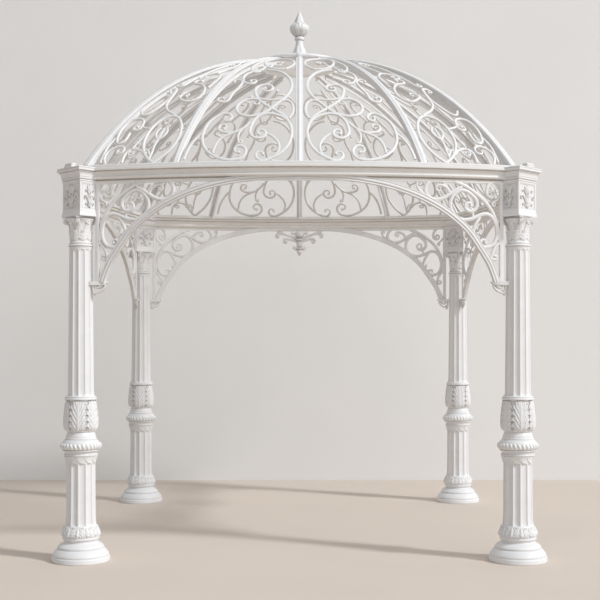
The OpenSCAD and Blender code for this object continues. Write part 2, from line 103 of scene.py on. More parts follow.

# %% [markdown]
# ## White paint on castings
# The real finish is thick satin paint over sand-cast metal. Three things keep it from looking
# like plastic: a faint orange-peel grain left by the mould, warm dust that settles in every
# recess, darkened further there by painted shade, and a slightly cleaner, brighter coat along
# the edges that rain washes. The thin castings are also darker on their undersides, which is
# painted shade. Each effect is a node group with its own inputs, so that every paint mix below
# can use it at its own strength. The groups give only masks and heights; the shader stays in
# the material.

# %% A helper for node groups
def shader_group(name, inputs, outputs):
    group = bpy.data.node_groups.new(name, "ShaderNodeTree")
    for label, value in inputs:
        socket = group.interface.new_socket(label, in_out="INPUT", socket_type="NodeSocketFloat")
        socket.default_value = value
    for label in outputs:
        group.interface.new_socket(label, in_out="OUTPUT", socket_type="NodeSocketFloat")
    return group, group.nodes.new("NodeGroupInput"), group.nodes.new("NodeGroupOutput")


def spread(tree, source, low, high, start, end):
    node = tree.nodes.new("ShaderNodeMapRange")
    node.clamp = True
    node.inputs["From Min"].default_value = low
    node.inputs["From Max"].default_value = high
    node.inputs["To Min"].default_value = start
    node.inputs["To Max"].default_value = end
    tree.links.new(source, node.inputs["Value"])
    return node.outputs["Result"]


def maths(tree, operation, first, second):
    node = tree.nodes.new("ShaderNodeMath")
    node.operation = operation
    for socket, value in zip(node.inputs, (first, second)):
        if isinstance(value, (int, float)):
            socket.default_value = value
        else:
            tree.links.new(value, socket)
    return node.outputs["Value"]


def noise(tree, scale, detail, roughness):
    place = tree.nodes.new("ShaderNodeTexCoord")
    node = tree.nodes.new("ShaderNodeTexNoise")
    node.inputs["Detail"].default_value = detail
    node.inputs["Roughness"].default_value = roughness
    if isinstance(scale, (int, float)):
        node.inputs["Scale"].default_value = scale
    else:
        tree.links.new(scale, node.inputs["Scale"])
    tree.links.new(place.outputs["Object"], node.inputs["Vector"])
    return node.outputs["Fac"]


print("helpers for shader groups ready")

# %% The casting grain group
grain, grain_in, grain_out = shader_group(
    "casting_grain", [("Fineness", 160.0), ("Dimples", 0.5)], ["Height", "Tone"])
fine = noise(grain, grain_in.outputs["Fineness"], 3, 0.6)
broad = noise(grain, 14, 2, 0.5)
rough = maths(grain, "MULTIPLY", fine, grain_in.outputs["Dimples"])
height = maths(grain, "ADD", rough, maths(grain, "MULTIPLY", broad, 0.8))
grain.links.new(height, grain_out.inputs["Height"])
grain.links.new(spread(grain, broad, 0.3, 0.7, 0.0, 1.0), grain_out.inputs["Tone"])
print(grain.name, "has", len(grain.nodes), "nodes")

# %% The recess dust and painted shade group
dust_and_shade_group, dust_and_shade_group_in, dust_and_shade_group_out = shader_group(
    "recess_dust_and_shade", [("Reach", 0.04), ("Amount", 0.6), ("Patchiness", 9.0)], ["Mask"])
# Recesses found by the occlusion get the mask: partly dust that settles there, partly painted shade where
# less light reaches.
hollow = dust_and_shade_group.nodes.new("ShaderNodeAmbientOcclusion")
hollow.samples = 8
hollow.only_local = True
dust_and_shade_group.links.new(dust_and_shade_group_in.outputs["Reach"], hollow.inputs["Distance"])
depth = spread(dust_and_shade_group, hollow.outputs["AO"], 0.20, 0.78, 1.0, 0.0)
patches = spread(dust_and_shade_group, noise(dust_and_shade_group, dust_and_shade_group_in.outputs["Patchiness"], 4, 0.6), 0.3, 0.62, 0.45, 1.0)
amount = maths(dust_and_shade_group, "MULTIPLY", maths(dust_and_shade_group, "MULTIPLY", depth, patches), dust_and_shade_group_in.outputs["Amount"])
dust_and_shade_group.links.new(amount, dust_and_shade_group_out.inputs["Mask"])
print(dust_and_shade_group.name, "has", len(dust_and_shade_group.nodes), "nodes")

# %% The washed edge group
wash, wash_in, wash_out = shader_group(
    "washed_edge", [("Amount", 0.5)], ["Mask"])
form = wash.nodes.new("ShaderNodeNewGeometry")
ridge = spread(wash, form.outputs["Pointiness"], 0.51, 0.60, 0.0, 1.0)
broken = spread(wash, noise(wash, 40, 3, 0.6), 0.35, 0.65, 0.4, 1.0)
edge = maths(wash, "MULTIPLY", maths(wash, "MULTIPLY", ridge, broken), wash_in.outputs["Amount"])
wash.links.new(edge, wash_out.inputs["Mask"])
print(wash.name, "has", len(wash.nodes), "nodes")

# %% The painted underside shade group
underside_shade_group, underside_shade_group_in, underside_shade_group_out = shader_group(
    "painted_underside_shade", [("Amount", 0.5)], ["Mask"])
bearing = underside_shade_group.nodes.new("ShaderNodeTexCoord")
upward = underside_shade_group.nodes.new("ShaderNodeSeparateXYZ")
underside_shade_group.links.new(bearing.outputs["Normal"], upward.inputs["Vector"])
# Faces that point down get the mask: painted shade under every bar.
downward = spread(underside_shade_group, upward.outputs["Z"], -0.75, -0.05, 1.0, 0.0)
underside_shade = maths(underside_shade_group, "MULTIPLY", downward, underside_shade_group_in.outputs["Amount"])
underside_shade_group.links.new(underside_shade, underside_shade_group_out.inputs["Mask"])
print(underside_shade_group.name, "has", len(underside_shade_group.nodes), "nodes")

# %% [markdown]
# ## Three mixes of the same white
# The columns are handled and splashed, so the dust in their hollows is broad and pale, and so
# is the painted shade there. The ribs and the crown share it; on the ribs its cooler white is a
# painted tint for the sky light on the dome. The scrollwork has finer hollows with darker dust
# and painted shade, and painted shade on the underside of every bar, which draws its curls
# against the sky. The beam is one long smooth moulding with hardly any grain, and its paint is a
# little warmer than the columns'. Each mix blends a body colour, a dust-and-shade colour and a
# washed colour by the masks, and sets gloss on the shader itself.

# %% Paint mixes
def blend_colours(tree, mask, first, second):
    node = tree.nodes.new("ShaderNodeMix")
    node.data_type = "RGBA"
    tree.links.new(mask, node.inputs["Factor"])
    for socket, value in ((node.inputs["A"], first), (node.inputs["B"], second)):
        if isinstance(value, tuple):
            socket.default_value = (*value, 1)
        else:
            tree.links.new(value, socket)
    return node.outputs["Result"]


def place_group(tree, group, **values):
    node = tree.nodes.new("ShaderNodeGroup")
    node.node_tree = group
    for label, value in values.items():
        node.inputs[label].default_value = value
    return node


def mix_paint(name, body, shade, dust_and_shade_colour, fineness, dimples, bump, reach, amount, gloss, underside_shade):
    paint = bpy.data.materials.new(name)
    paint.use_nodes = True
    tree = paint.node_tree
    shader = tree.nodes["Principled BSDF"]
    grains = place_group(tree, grain, Fineness=fineness, Dimples=dimples)
    dust_and_shade_node = place_group(tree, dust_and_shade_group, Reach=reach, Amount=amount, Patchiness=9.0)
    edges = place_group(tree, wash, Amount=0.6)
    underside_shade_node = place_group(tree, underside_shade_group, Amount=underside_shade)
    colour = blend_colours(tree, grains.outputs["Tone"], shade, body)
    # Recesses take the dark colour by the occlusion mask: dust and painted shade together.
    colour = blend_colours(tree, dust_and_shade_node.outputs["Mask"], colour, dust_and_shade_colour)
    # Faces that point down take the same dark colour: painted shade.
    colour = blend_colours(tree, underside_shade_node.outputs["Mask"], colour, dust_and_shade_colour)
    colour = blend_colours(tree, edges.outputs["Mask"], colour, (0.90, 0.90, 0.89))
    tree.links.new(colour, shader.inputs["Base Color"])
    rough = spread(tree, dust_and_shade_node.outputs["Mask"], 0.0, 0.6, gloss, 0.8)
    tree.links.new(rough, shader.inputs["Roughness"])
    shader.inputs["Specular IOR Level"].default_value = 0.4
    relief = tree.nodes.new("ShaderNodeBump")
    relief.inputs["Strength"].default_value = bump
    relief.inputs["Distance"].default_value = 0.0015
    tree.links.new(grains.outputs["Height"], relief.inputs["Height"])
    tree.links.new(relief.outputs["Normal"], shader.inputs["Normal"])
    return paint


# In each mix the third colour darkens recesses and undersides, as dust and painted shade; the last number
# sets how much painted shade lies under the bars.
column_paint = mix_paint(
    "column_paint", body=(0.84, 0.843, 0.855), shade=(0.81, 0.81, 0.815), dust_and_shade_colour=(0.48, 0.45, 0.41),
    fineness=150, dimples=0.5, bump=0.3, reach=0.03, amount=0.80, gloss=0.42, underside_shade=0.0)
scroll_paint = mix_paint(
    "scroll_paint", body=(0.83, 0.833, 0.843), shade=(0.80, 0.80, 0.803), dust_and_shade_colour=(0.42, 0.38, 0.33),
    fineness=190, dimples=0.45, bump=0.25, reach=0.035, amount=0.85, gloss=0.40, underside_shade=0.62)
# The beam's white is a little warmer than the columns'.
beam_paint = mix_paint(
    "beam_paint", body=(0.84, 0.833, 0.82), shade=(0.81, 0.797, 0.775), dust_and_shade_colour=(0.46, 0.42, 0.36),
    fineness=120, dimples=0.25, bump=0.15, reach=0.035, amount=0.80, gloss=0.36, underside_shade=0.0)
print("paint mixes:", [m.name for m in (column_paint, scroll_paint, beam_paint)])

# %% [markdown]
# ## Meshes from rows of points
# Most castings here are lofts: rows of points that are joined to the next row. One helper
# turns rows into a closed mesh, a second draws smooth profiles through a few turned radii,
# and a third joins parts and copies them to the four corners. Keeping a column at the origin
# while it is made, and moving it last, means that one set of numbers serves all four.

# %% Mesh helpers
def mesh_of(name, points, faces):
    mesh = bpy.data.meshes.new(name)
    mesh.from_pydata([Vector(p) * MM for p in points], [], faces)
    return mesh


def loft(name, rows):
    """A closed mesh through rows of points, each row as long as the next."""
    across = len(rows[0])
    points = [p for row in rows for p in row]
    faces = []
    for i in range(len(rows) - 1):
        for k in range(across):
            a, b = i * across + k, i * across + (k + 1) % across
            faces.append((a, b, b + across, a + across))
    faces.append(tuple(reversed(range(across))))
    faces.append(tuple(range((len(rows) - 1) * across, len(rows) * across)))
    return mesh_of(name, points, faces)


def circle(radius, height, count):
    """A level row of points round the upright axis."""
    turns = [2 * math.pi * k / count for k in range(count)]
    return [(radius * math.cos(turn), radius * math.sin(turn), height) for turn in turns]


def joined(name, parts):
    work = bmesh.new()
    for part in parts:
        work.from_mesh(part)
    mesh = bpy.data.meshes.new(name)
    work.to_mesh(mesh)
    work.free()
    return mesh


def moved(mesh, matrix):
    copy = mesh.copy()
    copy.transform(matrix)
    return copy


def spin_to(step, offset=(0, 0, 0)):
    return Matrix.Rotation(math.radians(90 * step), 4, "Z") @ Matrix.Translation(Vector(offset) * MM)


def finish_mesh(mesh, paint, sharp=38):
    work = bmesh.new()
    work.from_mesh(mesh)
    bmesh.ops.recalc_face_normals(work, faces=work.faces)
    work.to_mesh(mesh)
    work.free()
    mesh.materials.clear()
    mesh.materials.append(paint)
    mesh.polygons.foreach_set("material_index", [0] * len(mesh.polygons))
    mesh.shade_smooth()
    mesh.set_sharp_from_angle(angle=math.radians(sharp))


made = []


def place(name, mesh, nodes):
    """Put a casting in the scene in place of the plain model's nodes."""
    piece = bpy.data.objects.new(name, mesh)
    bpy.context.scene.collection.objects.link(piece)
    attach(piece, "root")
    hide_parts(*nodes)
    faces = sum(len(p.vertices) - 2 for p in mesh.polygons)
    made.append((name, faces))


def place_round(word, mesh, node, names, first=0):
    """A copy for each name, every one a quarter turn on from the one before."""
    for step, name in enumerate(names, first):
        place(f"{word}_{name}", moved(mesh, spin_to(step)), [f"{node}_{name}"])


print("mesh helpers ready")

# %% Curve helpers
def curve_through(points, steps):
    """A smooth line through points, with a few steps to each span."""
    line = []
    for i in range(len(points) - 1):
        a, b = points[max(i - 1, 0)], points[i]
        c, d = points[i + 1], points[min(i + 2, len(points) - 1)]
        for k in range(steps):
            t = k / steps
            line.append(tuple(
                0.5 * (2 * b[n] + (c[n] - a[n]) * t
                       + (2 * a[n] - 5 * b[n] + 4 * c[n] - d[n]) * t * t
                       + (3 * b[n] - a[n] - 3 * c[n] + d[n]) * t ** 3)
                for n in (0, 1)))
    return line + [tuple(points[-1])]


def lengths_along(line):
    """How far along the line each of its points is."""
    lengths = [0.0]
    for a, b in zip(line, line[1:]):
        lengths.append(lengths[-1] + math.dist(a, b))
    return lengths


def even_steps(line, step):
    """The same line with points at even distances."""
    lengths = lengths_along(line)
    count = max(2, round(lengths[-1] / step))
    out, j = [], 0
    for i in range(count + 1):
        want = lengths[-1] * i / count
        while j < len(lengths) - 2 and lengths[j + 1] < want:
            j += 1
        t = (want - lengths[j]) / max(lengths[j + 1] - lengths[j], 1e-9)
        out.append(tuple(line[j][n] + (line[j + 1][n] - line[j][n]) * t for n in (0, 1)))
    return out


def eased(line, rounds):
    """The same line with its kinks relaxed, and its ends kept."""
    for _ in range(rounds):
        line = [line[0]] + [
            tuple(0.5 * b[n] + 0.25 * (a[n] + c[n]) for n in (0, 1))
            for a, b, c in zip(line, line[1:], line[2:])
        ] + [line[-1]]
    return line


def curl(start, heading, wide, tight, turn, step=8):
    """A spiral that goes on from start, from a wide radius to a tight one, through turn degrees."""
    out, (x, y), angle = [], start, heading
    side = 1 if turn > 0 else -1
    done, total = 0.0, math.radians(abs(turn))
    while done < total - 1e-6:
        radius = wide * (tight / wide) ** (done / total)
        bit = min(step / radius, 0.35, total - done)
        angle += side * bit / 2
        x += 2 * radius * math.sin(bit / 2) * math.cos(angle)
        y += 2 * radius * math.sin(bit / 2) * math.sin(angle)
        angle += side * bit / 2
        done += bit
        out.append((x, y))
    return out


def scroll(points, start=None, end=None, step=12):
    """A bar's middle line: an eased body, with a spiral eye (wide, tight, turn) at either end."""
    body = eased(even_steps(curve_through(points, 12), step), 4)
    head, tail = [], []
    if start:
        (x0, y0), (x1, y1) = body[0], body[1]
        head = curl(body[0], math.atan2(y0 - y1, x0 - x1), *start)
    if end:
        (x0, y0), (x1, y1) = body[-1], body[-2]
        tail = curl(body[-1], math.atan2(y0 - y1, x0 - x1), *end)
    return head[::-1] + body + tail


print("a test scroll has", len(scroll([(0, 0), (40, 90), (160, 120)], end=(50, 12, 360))), "points")

# %% [markdown]
# ## Geometry Nodes trees
# Two kinds of repetition make this object. Bars follow drawn lines: every scroll, rib, arch
# and cornice is one section carried along one path. Leaves stand in rings: one leaf, repeated
# round a column. Both are rules, so they are node trees with named inputs: one for rounded
# bars, one for any drawn section, and one for rings. The lines and the leaf are all that is
# drawn. A path stores which way is out, so that a flat bar never twists off the
# surface it lies on.

# %% Helpers for the trees
def new_tree(name, inputs):
    tree = bpy.data.node_groups.new(name, "GeometryNodeTree")
    tree.interface.new_socket("Geometry", in_out="INPUT", socket_type="NodeSocketGeometry")
    for label, kind, value in inputs:
        socket = tree.interface.new_socket(label, in_out="INPUT", socket_type=kind)
        if value is not None:
            socket.default_value = value
    tree.interface.new_socket("Geometry", in_out="OUTPUT", socket_type="NodeSocketGeometry")
    return tree, tree.nodes.new("NodeGroupInput"), tree.nodes.new("NodeGroupOutput")


def closing_nodes(tree, source, start, end):
    smooth = tree.nodes.new("GeometryNodeSetShadeSmooth")
    real = tree.nodes.new("GeometryNodeRealizeInstances")
    coat = tree.nodes.new("GeometryNodeSetMaterial")
    tree.links.new(source, smooth.inputs["Geometry"])
    tree.links.new(smooth.outputs["Geometry"], real.inputs["Geometry"])
    tree.links.new(real.outputs["Geometry"], coat.inputs["Geometry"])
    tree.links.new(start.outputs["Paint"], coat.inputs["Material"])
    tree.links.new(coat.outputs["Geometry"], end.inputs["Geometry"])


def sweep_along(tree, start):
    """Carry a section along the incoming edges, with its back to their stored inner side."""
    path = tree.nodes.new("GeometryNodeMeshToCurve")
    outward = tree.nodes.new("GeometryNodeInputNamedAttribute")
    outward.data_type = "FLOAT_VECTOR"
    outward.inputs["Name"].default_value = "outward"
    stance = tree.nodes.new("GeometryNodeSetCurveNormal")
    stance.mode = "FREE"
    sweep = tree.nodes.new("GeometryNodeCurveToMesh")
    sweep.inputs["Fill Caps"].default_value = True
    tree.links.new(start.outputs["Geometry"], path.inputs["Mesh"])
    tree.links.new(path.outputs["Curve"], stance.inputs["Curve"])
    tree.links.new(outward.outputs["Attribute"], stance.inputs["Normal"])
    tree.links.new(stance.outputs["Curve"], sweep.inputs["Curve"])
    return sweep


def run_tree(tree, mesh, **values):
    """Feed a mesh through a tree, and give back the plain mesh that comes out."""
    holder = bpy.data.objects.new("holder", mesh)
    bpy.context.scene.collection.objects.link(holder)
    step = holder.modifiers.new(tree.name, "NODES")
    step.node_group = tree
    sockets = {item.name: item.identifier for item in tree.interface.items_tree
               if item.item_type == "SOCKET" and item.in_out == "INPUT"}
    for label, value in values.items():
        step[sockets[label.replace("_", " ")]] = value
    view = bpy.context.evaluated_depsgraph_get()
    plain = bpy.data.meshes.new_from_object(holder.evaluated_get(view))
    bpy.data.objects.remove(holder)
    return plain


print("tree helpers ready")

# %% The bar tree: a rounded bar along paths
bar_tree, bar_in, bar_out = new_tree("bar_along_paths", [
    ("Width", "NodeSocketFloat", 0.018), ("Thickness", "NodeSocketFloat", 0.014),
    ("Rounding", "NodeSocketFloat", 0.004), ("Paint", "NodeSocketMaterial", None)])
sweep = sweep_along(bar_tree, bar_in)
section = bar_tree.nodes.new("GeometryNodeCurvePrimitiveQuadrilateral")
corners = bar_tree.nodes.new("GeometryNodeFilletCurve")
corners.mode = "POLY"
corners.inputs["Count"].default_value = 2
size = bar_tree.nodes.new("GeometryNodeInputNamedAttribute")
size.data_type = "FLOAT"
size.inputs["Name"].default_value = "size"
link = bar_tree.links.new
link(bar_in.outputs["Thickness"], section.inputs["Width"])
link(bar_in.outputs["Width"], section.inputs["Height"])
link(section.outputs["Curve"], corners.inputs["Curve"])
link(bar_in.outputs["Rounding"], corners.inputs["Radius"])
link(corners.outputs["Curve"], sweep.inputs["Profile Curve"])
link(size.outputs["Attribute"], sweep.inputs["Scale"])
closing_nodes(bar_tree, sweep.outputs["Mesh"], bar_in, bar_out)
print(bar_tree.name, "has", len(bar_tree.nodes), "nodes")

# %% The moulding tree: any drawn section along paths
moulding_tree, moulding_in, moulding_out = new_tree("moulding_along_paths", [
    ("Section", "NodeSocketObject", None), ("Paint", "NodeSocketMaterial", None)])
run = sweep_along(moulding_tree, moulding_in)
drawn = moulding_tree.nodes.new("GeometryNodeObjectInfo")
drawn_line = moulding_tree.nodes.new("GeometryNodeMeshToCurve")
link = moulding_tree.links.new
link(moulding_in.outputs["Section"], drawn.inputs["Object"])
link(drawn.outputs["Geometry"], drawn_line.inputs["Mesh"])
link(drawn_line.outputs["Curve"], run.inputs["Profile Curve"])
closing_nodes(moulding_tree, run.outputs["Mesh"], moulding_in, moulding_out)
print(moulding_tree.name, "has", len(moulding_tree.nodes), "nodes")

# %% The ring tree: one casting repeated round an upright axis
ring_tree, ring_in, ring_out = new_tree("ring_of_castings", [
    ("Count", "NodeSocketInt", 12), ("First Turn", "NodeSocketFloat", 0.0),
    ("Paint", "NodeSocketMaterial", None)])
spots = ring_tree.nodes.new("GeometryNodePoints")
number = ring_tree.nodes.new("GeometryNodeInputIndex")
share = ring_tree.nodes.new("ShaderNodeMath")
share.operation = "DIVIDE"
whole_turn = ring_tree.nodes.new("ShaderNodeMath")
whole_turn.operation = "MULTIPLY_ADD"
whole_turn.inputs[1].default_value = 2 * math.pi
upright = ring_tree.nodes.new("ShaderNodeCombineXYZ")
facing_turn = ring_tree.nodes.new("FunctionNodeEulerToRotation")
copies = ring_tree.nodes.new("GeometryNodeInstanceOnPoints")
link = ring_tree.links.new
link(ring_in.outputs["Count"], spots.inputs["Count"])
link(number.outputs["Index"], share.inputs[0])
link(ring_in.outputs["Count"], share.inputs[1])
link(share.outputs["Value"], whole_turn.inputs[0])
link(ring_in.outputs["First Turn"], whole_turn.inputs[2])
link(whole_turn.outputs["Value"], upright.inputs["Z"])
link(upright.outputs["Vector"], facing_turn.inputs["Euler"])
link(spots.outputs["Points"], copies.inputs["Points"])
link(ring_in.outputs["Geometry"], copies.inputs["Instance"])
link(facing_turn.outputs["Rotation"], copies.inputs["Rotation"])
closing_nodes(ring_tree, copies.outputs["Instances"], ring_in, ring_out)
print(ring_tree.name, "has", len(ring_tree.nodes), "nodes")

# %% Paths for the trees
def path_mesh(name, paths):
    """Paths are (points, outwards, sizes); all go into one mesh of edges with attributes."""
    points, edges, outwards, sizes = [], [], [], []
    for line, out, size in paths:
        first = len(points)
        points += [Vector(p) * MM for p in line]
        outwards += [c for o in out for c in o]
        sizes += size
        edges += [(first + i, first + i + 1) for i in range(len(line) - 1)]
    mesh = bpy.data.meshes.new(name)
    mesh.from_pydata(points, edges, [])
    mesh.attributes.new("outward", "FLOAT_VECTOR", "POINT").data.foreach_set("vector", outwards)
    mesh.attributes.new("size", "FLOAT", "POINT").data.foreach_set("value", sizes)
    return mesh


def bars(name, paths, width, thickness, paint, rounding=0.35):
    return run_tree(bar_tree, path_mesh(name, paths), Width=width * MM, Thickness=thickness * MM,
                    Rounding=rounding * thickness * MM, Paint=paint)


def section_object(points):
    """A flat closed outline for the moulding tree: first number outwards, second sideways."""
    mesh = bpy.data.meshes.new("section")
    edges = [(i, (i + 1) % len(points)) for i in range(len(points))]
    mesh.from_pydata([(a * MM, b * MM, 0) for a, b in points], edges, [])
    outline = bpy.data.objects.new("section", mesh)
    bpy.context.scene.collection.objects.link(outline)
    return outline


def mouldings(name, paths, points, paint):
    outline = section_object(points)
    mesh = run_tree(moulding_tree, path_mesh(name, paths), Section=outline, Paint=paint)
    bpy.data.objects.remove(outline)
    return mesh


def ring(mesh, count, paint, first=0.0):
    return run_tree(ring_tree, mesh, Count=count, First_Turn=math.radians(first), Paint=paint)


print("paths, bars, mouldings and rings ready")

# %% [markdown]
# ## Turned shapes and flutes
# The round parts were turned as wooden patterns before casting. A profile of radius and
# height, smoothed through a few chosen points, spun in even steps, gives the same crisp
# mouldings. The fluted lengths are not turned: each ring of points is pushed in where a
# flute is, and the push fades to a round end, like a gouge lifted out of the wood.

# %% Turned parts
def turned_part(name, profile, segments=96):
    """A profile of (radius, height) spun round the upright axis."""
    return loft(name, [circle(max(radius, 0.5), height, segments) for radius, height in profile])


def bead(radius, low, high, bulge, steps=7):
    """Half a round moulding on a profile, from low to high, standing out by bulge."""
    middle, reach = (low + high) / 2, (high - low) / 2
    line = []
    for i in range(steps + 1):
        angle = math.pi * (i / steps - 0.5)
        line.append((radius + bulge * math.cos(angle), middle + reach * math.sin(angle)))
    return line


def cove(radius0, low, radius1, high, depth, steps=7):
    """A hollow moulding between two radii."""
    line = []
    for i in range(steps + 1):
        t = i / steps
        radius = radius0 + (radius1 - radius0) * t - depth * math.sin(math.pi * t)
        line.append((radius, low + (high - low) * t))
    return line


FLUTES = 12


def fluted_part(name, profile, low, high, depth, share=0.44, steps=18):
    """A shaft of FLUTES round-ended flutes between two heights. Its profile is (radius, height)."""
    rows = []
    pitch = 2 * math.pi / FLUTES
    for radius, height in profile:
        half_turn = share * pitch
        half_width = half_turn * radius
        gap = min(height - low, high - height)
        if gap <= 0:
            open_share = 0.0
        elif gap < half_width:
            open_share = math.sqrt(1 - (1 - gap / half_width) ** 2)
        else:
            open_share = 1.0
        row = []
        for k in range(FLUTES * steps):
            turn = (k / steps) % 1.0
            turn = (turn - 1 if turn > 0.5 else turn) * pitch
            inside = 1 - (turn / max(half_turn * open_share, 1e-6)) ** 2
            push = depth * math.sqrt(open_share) * math.sqrt(inside) if inside > 0 else 0.0
            angle = 2 * math.pi * (k / steps + 0.5) / FLUTES
            row.append(((radius - push) * math.cos(angle), (radius - push) * math.sin(angle), height))
        rows.append(row)
    return loft(name, rows)


def shaft_heights(low, high, end):
    """Heights for a fluted length: close together in its round ends, far apart between."""
    near = [0, 0.04, 0.1, 0.2, 0.35, 0.55, 0.8, 1.1]
    out = [low - 1] + [low + end * t for t in near]
    out += [low + (high - low) * i / 6 for i in range(1, 6)]
    return out + [high - end * t for t in reversed(near)] + [high + 1]


print("turned and fluted parts ready")

# %% [markdown]
# ## A cast leaf
# Acanthus leaves are what makes these columns look cast and not turned. One function draws
# them all: a spine follows the surface it clothes, the outline swells and is notched into
# lobes, a midrib stands proud, and rounded ridges run slantwise out to the lobes with sharp
# valleys between them. The relief is low, and the back is closed and sunk in the column, so
# that nothing is left open and the outline of the column stays smooth.

# %% The leaf
def leaf(name, spine, width, lobes=3, rows=24, across=11, thick=4.0, rib=2.5, relief=3.0,
         notch=0.25, slant=0.3, blunt=0.5, root=0.65, widest=0.45, sunk=2.0, nip=0.8):
    line = even_steps(curve_through(spine, 8), 1.0)
    line = even_steps(line, lengths_along(line)[-1] / rows)
    count = len(line)
    loops = []
    for i, (radius, height) in enumerate(line):
        s = i / (count - 1)
        before, after = line[max(i - 1, 0)], line[min(i + 1, count - 1)]
        dr, dz = after[0] - before[0], after[1] - before[1]
        size = math.hypot(dr, dz)
        out_r, out_z = dz / size, -dr / size
        lean = min(s / widest, 1.0)
        swell = (root + (1 - root) * math.sin(math.pi / 2 * lean)) * (1 - s ** 3.5) ** blunt
        edge = abs(math.cos(math.pi * lobes * (s - slant)))
        half = width * max(swell, 0.05) * (1 - notch * (1 - edge ** nip))
        front, back = [], []
        for k in range(across):
            t = 2 * k / (across - 1) - 1
            ridge = abs(math.cos(math.pi * lobes * (s - slant * abs(t) ** 0.65))) ** 0.6
            lift = thick * (1 - abs(t) ** 4) + rib * math.exp(-(t / 0.12) ** 2) * (1 - s) ** 0.4
            lift += relief * (ridge - 0.6) * min(1.0, 3.0 * max(abs(t) - 0.1, 0)) * (1 - 0.3 * s)
            angle = t * half / max(radius, 20)
            r, z = radius + out_r * lift, height + out_z * lift
            front.append((r * math.cos(angle), r * math.sin(angle), z))
        for k in (across - 1, across // 2, 0):
            t = 2 * k / (across - 1) - 1
            angle = 0.95 * t * half / max(radius, 20)
            r, z = radius - out_r * (thick + sunk), height - out_z * (thick + sunk)
            back.append((r * math.cos(angle), r * math.sin(angle), z))
        loops.append(front + back)
    return loft(name, loops)


def small_bud(name, seat, radius, height, segments=10, rows=5):
    """A domed button. Its seat is the centre and the outward axis."""
    centre, axis = Vector(seat[0]), Vector(seat[1]).normalized()
    turn = axis.to_track_quat("Z", "Y")
    loops = [circle(radius, -height, segments)]
    for i in range(rows + 1):
        angle = math.pi / 2 * i / rows
        loops.append(circle(max(radius * math.cos(angle), radius * 0.04),
                            height * math.sin(angle), segments))
    return loft(name, [[centre + turn @ Vector(p) for p in loop] for loop in loops])


test_leaf = leaf("test", [(100, 0), (112, 40), (116, 90), (118, 116)], 26)
print("a leaf has", len(test_leaf.polygons), "faces")

# %% [markdown]
# ## Column foot and pedestal
# From the ground up: a flat disc, two round mouldings with a hollow between, a ruffled ring
# of small leaves, a short fluted drum, a bell with a fringe of leaf tips, a few fillets, and
# a fat ring carved with leaves. Everything round is one turned profile; the flutes and the
# rings of leaves are added to it.

# %% Pedestal profile
DRUM_LOW, DRUM_TOP = 222, 634
foot = [(1, 0), (FOOT_R - 3, 0), (FOOT_R, 3), (FOOT_R, 25), (FOOT_R - 2, 31), (FOOT_R - 6, 34)]
foot += [(177, 35)] + curve_through([(178, 37), (179, 44), (174, 54), (167, 63), (158, 74)], 3)
foot += [(151, 80), (147, 81)] + curve_through([(145, 83), (148, 90), (145, 97), (139, 103), (131, 110)], 3)
foot += [(125, 114), (120, 116)] + curve_through([(116, 118), (111, 122), (107, 128), (107, 134)], 3)
foot += [(110, 139), (115, 141), (117.5, 143), (117.5, 158), (116, 161), (119, 163)]
foot += curve_through([(119, 165), (120, 173), (118, 186), (113, 199), (108, 213), (104, 226)], 3)
foot += [(100, 231), (60, 232), (1, 232)]
top = [(1, 626), (92, 626), (93.5, 632), (94.5, 642), (97.5, 655), (101, 665), (103, 672)]
top += bead(103, 673, 684, 6) + [(105, 685), (103, 688), (102, 694), (104, 699), (108, 702)]
top += bead(113, 704, 712, 5) + [(116, 714)]
top += curve_through([(119, 716), (122, 720), (125.5, 728), (126.5, 738), (123, 748), (117, 759),
                      (109, 770), (100, 776)], 3)
top += [(97, 778), (60, 779), (1, 779)]
pedestal_parts = [turned_part("foot", foot), turned_part("pedestal_top", top)]
drum = []
for height in shaft_heights(DRUM_LOW, DRUM_TOP, 30):
    drum.append((94.8 + 6 * math.exp(-(height - 230) / 24) - 0.005 * (height - 200), height))
drum += [(92.8, 638), (92.8, 642)]
pedestal_parts.append(fluted_part("drum", drum, DRUM_LOW, DRUM_TOP, depth=9))
print("pedestal profile points:", len(foot) + len(top) + len(drum))

# %% Pedestal leaves
ruffle = leaf("ruffle", [(118, 164), (120, 173), (118, 186), (113, 199), (108, 212), (106, 224)],
              28, lobes=3, rows=26, across=13, thick=2.0, rib=2.5, relief=8, notch=0.26, blunt=0.6,
              root=0.8, slant=0.55)
pedestal_parts.append(ring(ruffle, 12, column_paint, 15))
tuck = leaf("tuck", [(120, 166), (121, 176), (117, 190), (111, 205), (107, 218)],
            12, lobes=2, rows=14, across=7, thick=4.5, rib=3, relief=5, notch=0.25)
pedestal_parts.append(ring(tuck, 12, column_paint))
garland = leaf("garland", [(104, 672), (100, 662), (97, 651), (95, 640), (95, 630)],
               25, lobes=3, rows=18, across=11, thick=1.2, rib=1.5, relief=3.0, notch=0.15,
               blunt=0.5, root=0.8, slant=0.45)
pedestal_parts.append(ring(garland, 12, column_paint, 15))
tongue = leaf("tongue", [(104, 671), (100.5, 662), (97.5, 652), (96, 644)],
              9, lobes=2, rows=10, across=5, thick=2.5, rib=2, relief=1.5, notch=0.1)
pedestal_parts.append(ring(tongue, 12, column_paint))
lump = small_bud("lump", ((0, 0, 0), (1, 0, 0)), 1, 1, 10, 4)
lump.transform(Matrix.Translation(Vector((122, 0, 736)) * MM)
               @ Matrix.Rotation(math.radians(24), 4, "X")
               @ Matrix.Diagonal((10, 10.5, 21, 1)))
pedestal_parts.append(ring(lump, 30, column_paint))
pedestal = joined("pedestal", pedestal_parts)
print("pedestal faces:", len(pedestal.polygons))

